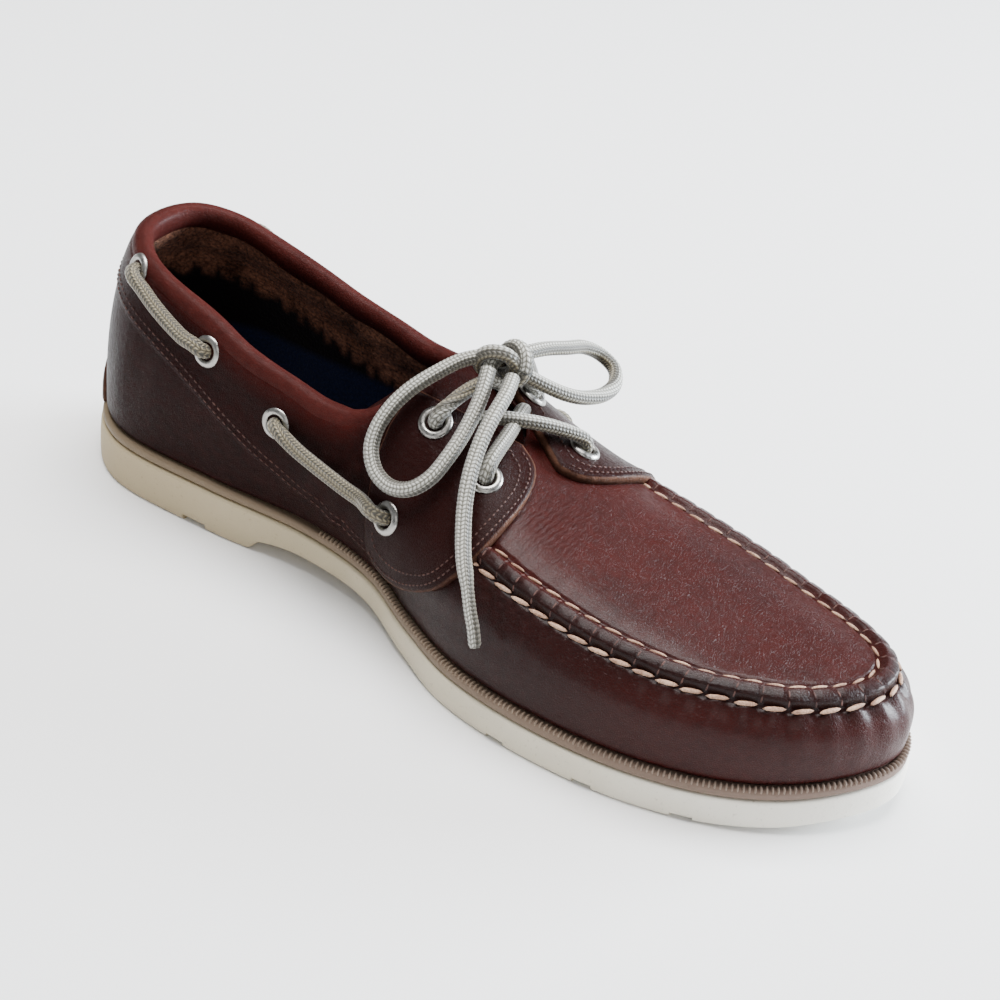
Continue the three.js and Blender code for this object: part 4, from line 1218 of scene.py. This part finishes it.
sole_mesh = band_mesh("outsole_rubber", sole_points,
                      caps=(numbers[::-1, 0].tolist(), numbers[:, -1].tolist()))
mend(sole_mesh)
# The sole's colour stops are painted shade: tan at the heel and the hollow waist, which lie in shadow,
# going over to near white at the toe.
sole_rubber = rubber_material("sole_rubber", [
    (-0.14, (0.38, 0.30, 0.175)), (-0.03, (0.47, 0.40, 0.27)),
    (0.07, (0.64, 0.59, 0.47)), (0.14, (0.82, 0.79, 0.71))])
sole = shoe_piece("outsole_rubber", sole_mesh, sole_rubber, "outsole")
cut_mesh = bpy.data.meshes.new("slots")
cutter = bmesh.new()
for middle, width, deep in TREAD_SLOTS:
    box_at = Matrix.Translation(to_frame((middle, 0, deep / 2 - 2)))
    box_size = Matrix.Diagonal((width * MM, 140 * MM, (deep + 4) * MM, 1))
    bmesh.ops.create_cube(cutter, size=1, matrix=box_at @ box_size)
cutter.to_mesh(cut_mesh)
cutter.free()
cut_piece = bpy.data.objects.new("slots", cut_mesh)
bpy.context.scene.collection.objects.link(cut_piece)
cut = sole.modifiers.new("slots", "BOOLEAN")
cut.operation = "DIFFERENCE"
cut.object = cut_piece
cut.solver = "EXACT"
sole.data = baked(sole)
bpy.data.objects.remove(cut_piece)

# ---------------------------------------------------------------------------
# Eyelets: rolled nickel-plated brass, set through the leather. Rows 1 to 3 sit
# on the quarter, 4 to 6 on the lace stay.
EYELETS = {
    -1: ((17, 62), (50.7, 47.6), (79.7, 33), (128.5, 16.5), (149.4, 50.7), (128, 64.2)),
    1: ((17, 60), (50.7, 45.5), (79.7, 32), (137, 16), (157.6, 54.6), (136, 62))}
QUARTER_LIFT = 0.75
EYELET_PROFILE = np.array([
    (2.75, -2.2), (2.78, 0.1), (2.95, 0.75), (3.5, 1.1), (4.2, 1.02), (4.85, 0.62), (5.15, 0.1),
    (5.1, -0.2), (3.6, -0.25), (3.15, -0.5), (3.1, -2.2)], float)
SIDES = ((-1, "medial"), (1, "lateral"))
nickel, tree, shader = surface("eyelet_nickel", {"Base Color": (0.33, 0.32, 0.30, 1),
                                                 "Roughness": 0.28, "Metallic": 1.0})
scuffs = noise(tree, object_place(tree), 700.0, 4.0)
wire(tree, shader, {"Roughness": remap(tree, scuffs, 0.3, 0.7, 0.2, 0.45),
                    "Normal": bump(tree, scuffs, 0.0001)})


def eyelet_place(side, number):
    """Middle of an eyelet on the leather's face, and the way it faces."""
    x_at, angle = EYELETS[side][number - 1]
    return on_last(x_at, side, angle, QUARTER_LIFT if number < 4 else STAY_LIFT + STAY_THICKNESS)


turns = np.linspace(0, 2 * math.pi, 40, endpoint=False)
for side, word in SIDES:
    for number in range(1, 7):
        middle, facing = eyelet_place(side, number)
        across = facing.cross(Vector((0, 0, 1))).normalized()
        over = facing.cross(across)
        rings = [[middle + facing * lift + (across * math.cos(t) + over * math.sin(t)) * radius
                  for radius, lift in spline(EYELET_PROFILE, 26, closed=True).tolist()]
                 for t in turns]
        name = "eyelet_%s_%d" % (word, number)
        shoe_piece(name + "_nickel", tube_mesh(name, np.array(rings, float), closed=True), nickel,
                   name)

# ---------------------------------------------------------------------------
# Lace: one round braid of polyester, silver grey with dark tracers down one
# face and olive down the other. It shows between the eyelets along each side,
# crosses the tongue and is tied in a bow.
LACE_DIAMETER = 4.6
LACE_SIDES = 24
LACE_STEP = 0.45
BRAID_PITCH = 1.2
BRAID_COLUMNS = 12
FROM_SHOE = (6, 0, -34)     # with a point's y and z, the way out from the shoe's middle


def lace_run(path, face_out=1.0, thin_tip=False, closed=False):
    """Rings of a lace along a path in millimetres, its marked face turned away
    from the shoe, with the run and the middle of each ring."""
    dense = spline(path, 600, closed=closed)
    if closed:
        dense = np.vstack([dense, dense[:1]])
    run = run_of(dense)
    count = max(12, int(run[-1] / LACE_STEP))
    at = np.linspace(0, run[-1], count, endpoint=not closed)
    line = walk(at, run, dense)
    way = unit(np.roll(line, -1, 0) - np.roll(line, 1, 0) if closed else np.gradient(line, axis=0))
    away = unit(line * (0, 1, 1) + FROM_SHOE) * face_out
    flat = away - way * (away * way).sum(1, keepdims=True)
    ups = np.empty_like(line)
    up = flat[0] if np.linalg.norm(flat[0]) > 0.1 else np.cross(way[0], [1.0, 0, 0])
    for k in range(count):
        up = unit(up - way[k] * (up @ way[k]))
        weight = 0.12 * min(1, np.linalg.norm(flat[k]) * 1.4)
        up = unit(up * (1 - weight) + flat[k] * weight)
        ups[k] = up
    turns = 2 * math.pi * np.arange(LACE_SIDES) / LACE_SIDES
    column = turns / (2 * math.pi) * BRAID_COLUMNS
    lean = np.where(np.floor(column) % 2 == 0, 1, -1) * (column % 1 - 0.5)
    radius = 1 + 0.035 * np.cos(2 * math.pi * (at[:, None] / BRAID_PITCH + 0.5 * lean))
    if thin_tip:
        left = (run[-1] - at)[:, None]
        radius *= 0.80 + 0.20 * smoothstep(16, 22, left)
        radius *= 0.72 + 0.28 * smoothstep(-0.2, 1.2, left)
    high = (np.cos(turns) * radius * LACE_DIAMETER * 0.46)[:, :, None]
    wide = (np.sin(turns) * radius * LACE_DIAMETER * 0.5)[:, :, None]
    return line[:, None] + high * ups[:, None] + wide * np.cross(way, ups)[:, None], at, line


# The braid by UV: u once round from the marked face, v in braid pitches.
lace_braid, tree, shader = surface("lace_braid", {
    "Base Color": (0.5, 0.5, 0.47, 1), "Roughness": 0.5, "Sheen Weight": 0.25,
    "Specular IOR Level": 0.45})


def braid(operation, *values):
    return math_node(tree, operation, *values)


split = node(tree, "ShaderNodeSeparateXYZ", {0: node(tree, "ShaderNodeUVMap", uv_map="run").outputs[0]})
columns = braid("MULTIPLY", split.outputs[0], float(BRAID_COLUMNS))
inside = braid("SUBTRACT", braid("FRACT", columns), 0.5)
parity = braid("MULTIPLY_ADD", braid("MODULO", braid("FLOOR", columns), 2.0), 2.0, -1.0)
lean = braid("MULTIPLY", inside, parity)
strand = braid("FRACT", braid("MULTIPLY_ADD", lean, -0.5, split.outputs[1]))
height = braid("MULTIPLY", braid("SINE", braid("MULTIPLY", strand, math.pi)),
               braid("COSINE", braid("MULTIPLY", inside, math.pi)))
around = braid("PINGPONG", split.outputs[0], 0.5)
beaded = remap(tree, strand, 0.38, 0.46)
tracer = remap(tree, braid("ABSOLUTE", braid("SUBTRACT", around, 0.175)), 0.070, 0.052)
behind = remap(tree, braid("ABSOLUTE", braid("SUBTRACT", around, 0.40)), 0.065, 0.055)
marks = braid("MAXIMUM", braid("MULTIPLY", tracer, braid("MULTIPLY_ADD", beaded, 0.2, 0.8)),
              braid("MULTIPLY", behind, beaded))
# Each thread colour goes to near black where the braid's height is low: painted shade in the gaps
# between the strands.
light = mix_colors(tree, height, (0.07, 0.065, 0.045), (0.60, 0.59, 0.54))
dark = mix_colors(tree, height, (0.02, 0.018, 0.012), (0.075, 0.065, 0.045))
olive = mix_colors(tree, height, (0.04, 0.03, 0.016), (0.27, 0.23, 0.14))
lighter = mix_colors(tree, remap(tree, around, 0.19, 0.30), light, olive)
wire(tree, shader, {"Base Color": mix_colors(tree, marks, lighter, dark),
                    "Normal": bump(tree, height, 0.0003, 0.8)})


def lace_piece(name, stands_for, runs):
    """One piece from several runs of lace, each the rings and the run along them."""
    whole = bmesh.new()
    for rings, at, closed in runs:
        part = tube_mesh(name, rings, closed=closed, uv_pitch=BRAID_PITCH, run=at)
        whole.from_mesh(part)
        bpy.data.meshes.remove(part)
    mesh = bpy.data.meshes.new(name)
    whole.to_mesh(mesh)
    whole.free()
    return shoe_piece(name, mesh, lace_braid, stands_for)


KNOT_CENTRE = (135, 3.5, 80)
# Its wraps: the middle of each, the two ways that it turns between, and its half sizes.
KNOT_WRAPS = (
    ((137.2, 6.2, 79.6), (1, -0.25, 0), (0.1, 0.25, 1), 5.0, 5.0),
    ((134.2, 1.6, 80.2), (1, 0.45, 0.1), (0, -0.35, 1), 5.2, 4.6),
    ((135.6, 3.6, 78.0), (0.35, 1, 0), (-0.4, 0.1, 1), 5.0, 4.0))
LOOP_MEDIAL = [
    (130.5, 1, 81.5), (126.5, -5, 80.5), (123, -12.3, 77.8), (119.5, -19.5, 73.7), (117.3, -25, 69),
    (116.4, -29.8, 63.4), (117.6, -33.3, 58.1), (122, -36, 53.9), (128.6, -37.3, 52.4),
    (135, -36.7, 54.4), (139, -33.3, 58.3), (140.3, -27, 63.5), (139.8, -19.3, 68.6),
    (138, -10.6, 75), (135, -3.5, 80.5)]
LOOP_LATERAL = [
    (136.3, 9, 81), (138.2, 19.8, 79.6), (140, 29.6, 77), (141.1, 37.9, 74.5), (143.9, 43.5, 71),
    (148.8, 44.2, 68), (152.6, 39.6, 66), (153.6, 31.8, 65.7), (152.2, 23.2, 67.5),
    (149.8, 16.6, 70.3), (146, 10.7, 74), (140.5, 5, 78.5)]
END_MEDIAL = [
    (140.5, 1, 78), (143.4, -5.8, 76.6), (145.3, -13.9, 73.6), (146.8, -20.6, 69.8),
    (148.4, -25.8, 65.9), (150.4, -30.6, 61.9), (152.9, -35, 57), (156.4, -39.6, 52),
    (160.8, -44.6, 47.5), (166.1, -49.4, 43.3), (170.7, -53.3, 38.5), (173.8, -55.4, 34.9),
    (176, -56.8, 30.4)]
END_LATERAL = [
    (131.5, 8, 79), (128.5, 15, 77), (126, 24, 72.5), (123.6, 32.4, 66.8), (122, 39, 59.3),
    (121.5, 43.8, 51.5), (122, 47.7, 43.6), (123.5, 49.8, 35.3), (126, 50, 27.4)]

# The knot: a wrap round the bases of the loops over a flat half knot.
knot_runs = []
turns = np.linspace(0, 2 * math.pi, 16, endpoint=False)
for middle, first, second, wide, tall in KNOT_WRAPS:
    first = unit(np.array(first, float))
    second = unit(np.array(second, float) - first * (np.array(second, float) @ first))
    path = middle + np.outer(np.cos(turns) * wide, first) + np.outer(np.sin(turns) * tall, second)
    rings, at, _ = lace_run(path, closed=True)
    knot_runs.append((rings, at, True))
knot = lace_piece("lace_knot_braid", "lace_knot", knot_runs)

for name, path, far_end, tip in (
        ("lace_loop_medial", LOOP_MEDIAL, "object", False),
        ("lace_loop_lateral", LOOP_LATERAL, "object", False),
        ("lace_end_medial", END_MEDIAL, "bare", True),
        ("lace_end_lateral", END_LATERAL, "bare", True)):
    rings, at, line = lace_run(path, thin_tip=tip)
    piece = lace_piece(name + "_braid", name, [(rings, at, False)])
    path_m = to_frame(np.vstack([line[::8], line[-1:]]))
    length = float(np.linalg.norm(np.diff(path_m, axis=0), axis=1).sum())


def out_of(side, number, towards):
    """The first points of a lace as it comes out of an eyelet towards a point."""
    middle, facing = eyelet_place(side, number)
    lean = towards - middle
    lean = (lean - facing * lean.dot(facing)).normalized()
    return [middle - facing * 3.2, middle - facing * 0.2, middle + facing * 2.3 + lean * 1.1,
            middle + facing * 3.3 + lean * 4.0]


BAR_LIFT = 4.2              # from the last to the middle of the lace
BAR_SAG = 1.6
for side, word in SIDES:
    for first_hole, second_hole, part in ((1, 2, "rear"), (3, 4, "front")):
        x1, a1 = EYELETS[side][first_hole - 1]
        x2, a2 = EYELETS[side][second_hole - 1]
        points = out_of(side, first_hole, eyelet_place(side, second_hole)[0])
        for t in np.linspace(0.22, 0.78, 5):
            angle = a1 + (a2 - a1) * t - BAR_SAG * math.sin(math.pi * t)
            points.append(on_last(x1 + (x2 - x1) * t, side, angle, BAR_LIFT)[0])
        points += out_of(side, second_hole, eyelet_place(side, first_hole)[0])[::-1]
        rings, at, _ = lace_run(np.array(points, float), face_out=-1.0)
        name = "lace_bar_%s_%s" % (word, part)
        lace_piece(name + "_braid", name, [(rings, at, False)])

crossing_runs = []
for side, tuck_x, hump in ((-1, 140, 1.4), (1, 136, 3.2)):
    points = out_of(side, 5, eyelet_place(-side, 6)[0])
    tuck, facing = on_last(tuck_x, -side, 77, 2.2)
    points += [points[-1].lerp(tuck, 0.5) + facing * hump, tuck,
               on_last(tuck.x - 2, -side, 67, -1.0)[0]]
    rings, at, _ = lace_run(np.array(points, float))
    crossing_runs.append((rings, at, False))
    knot_end = Vector(KNOT_CENTRE) + Vector((-1, side * 4.5, -4.5))
    points = out_of(side, 6, knot_end)
    points += [points[-1].lerp(knot_end, 0.5) + Vector((0, 0, 1.2)), knot_end]
    rings, at, _ = lace_run(np.array(points, float), face_out=-1.0)
    crossing_runs.append((rings, at, False))
lace_piece("lace_crossing_braid", "lace_crossing", crossing_runs)
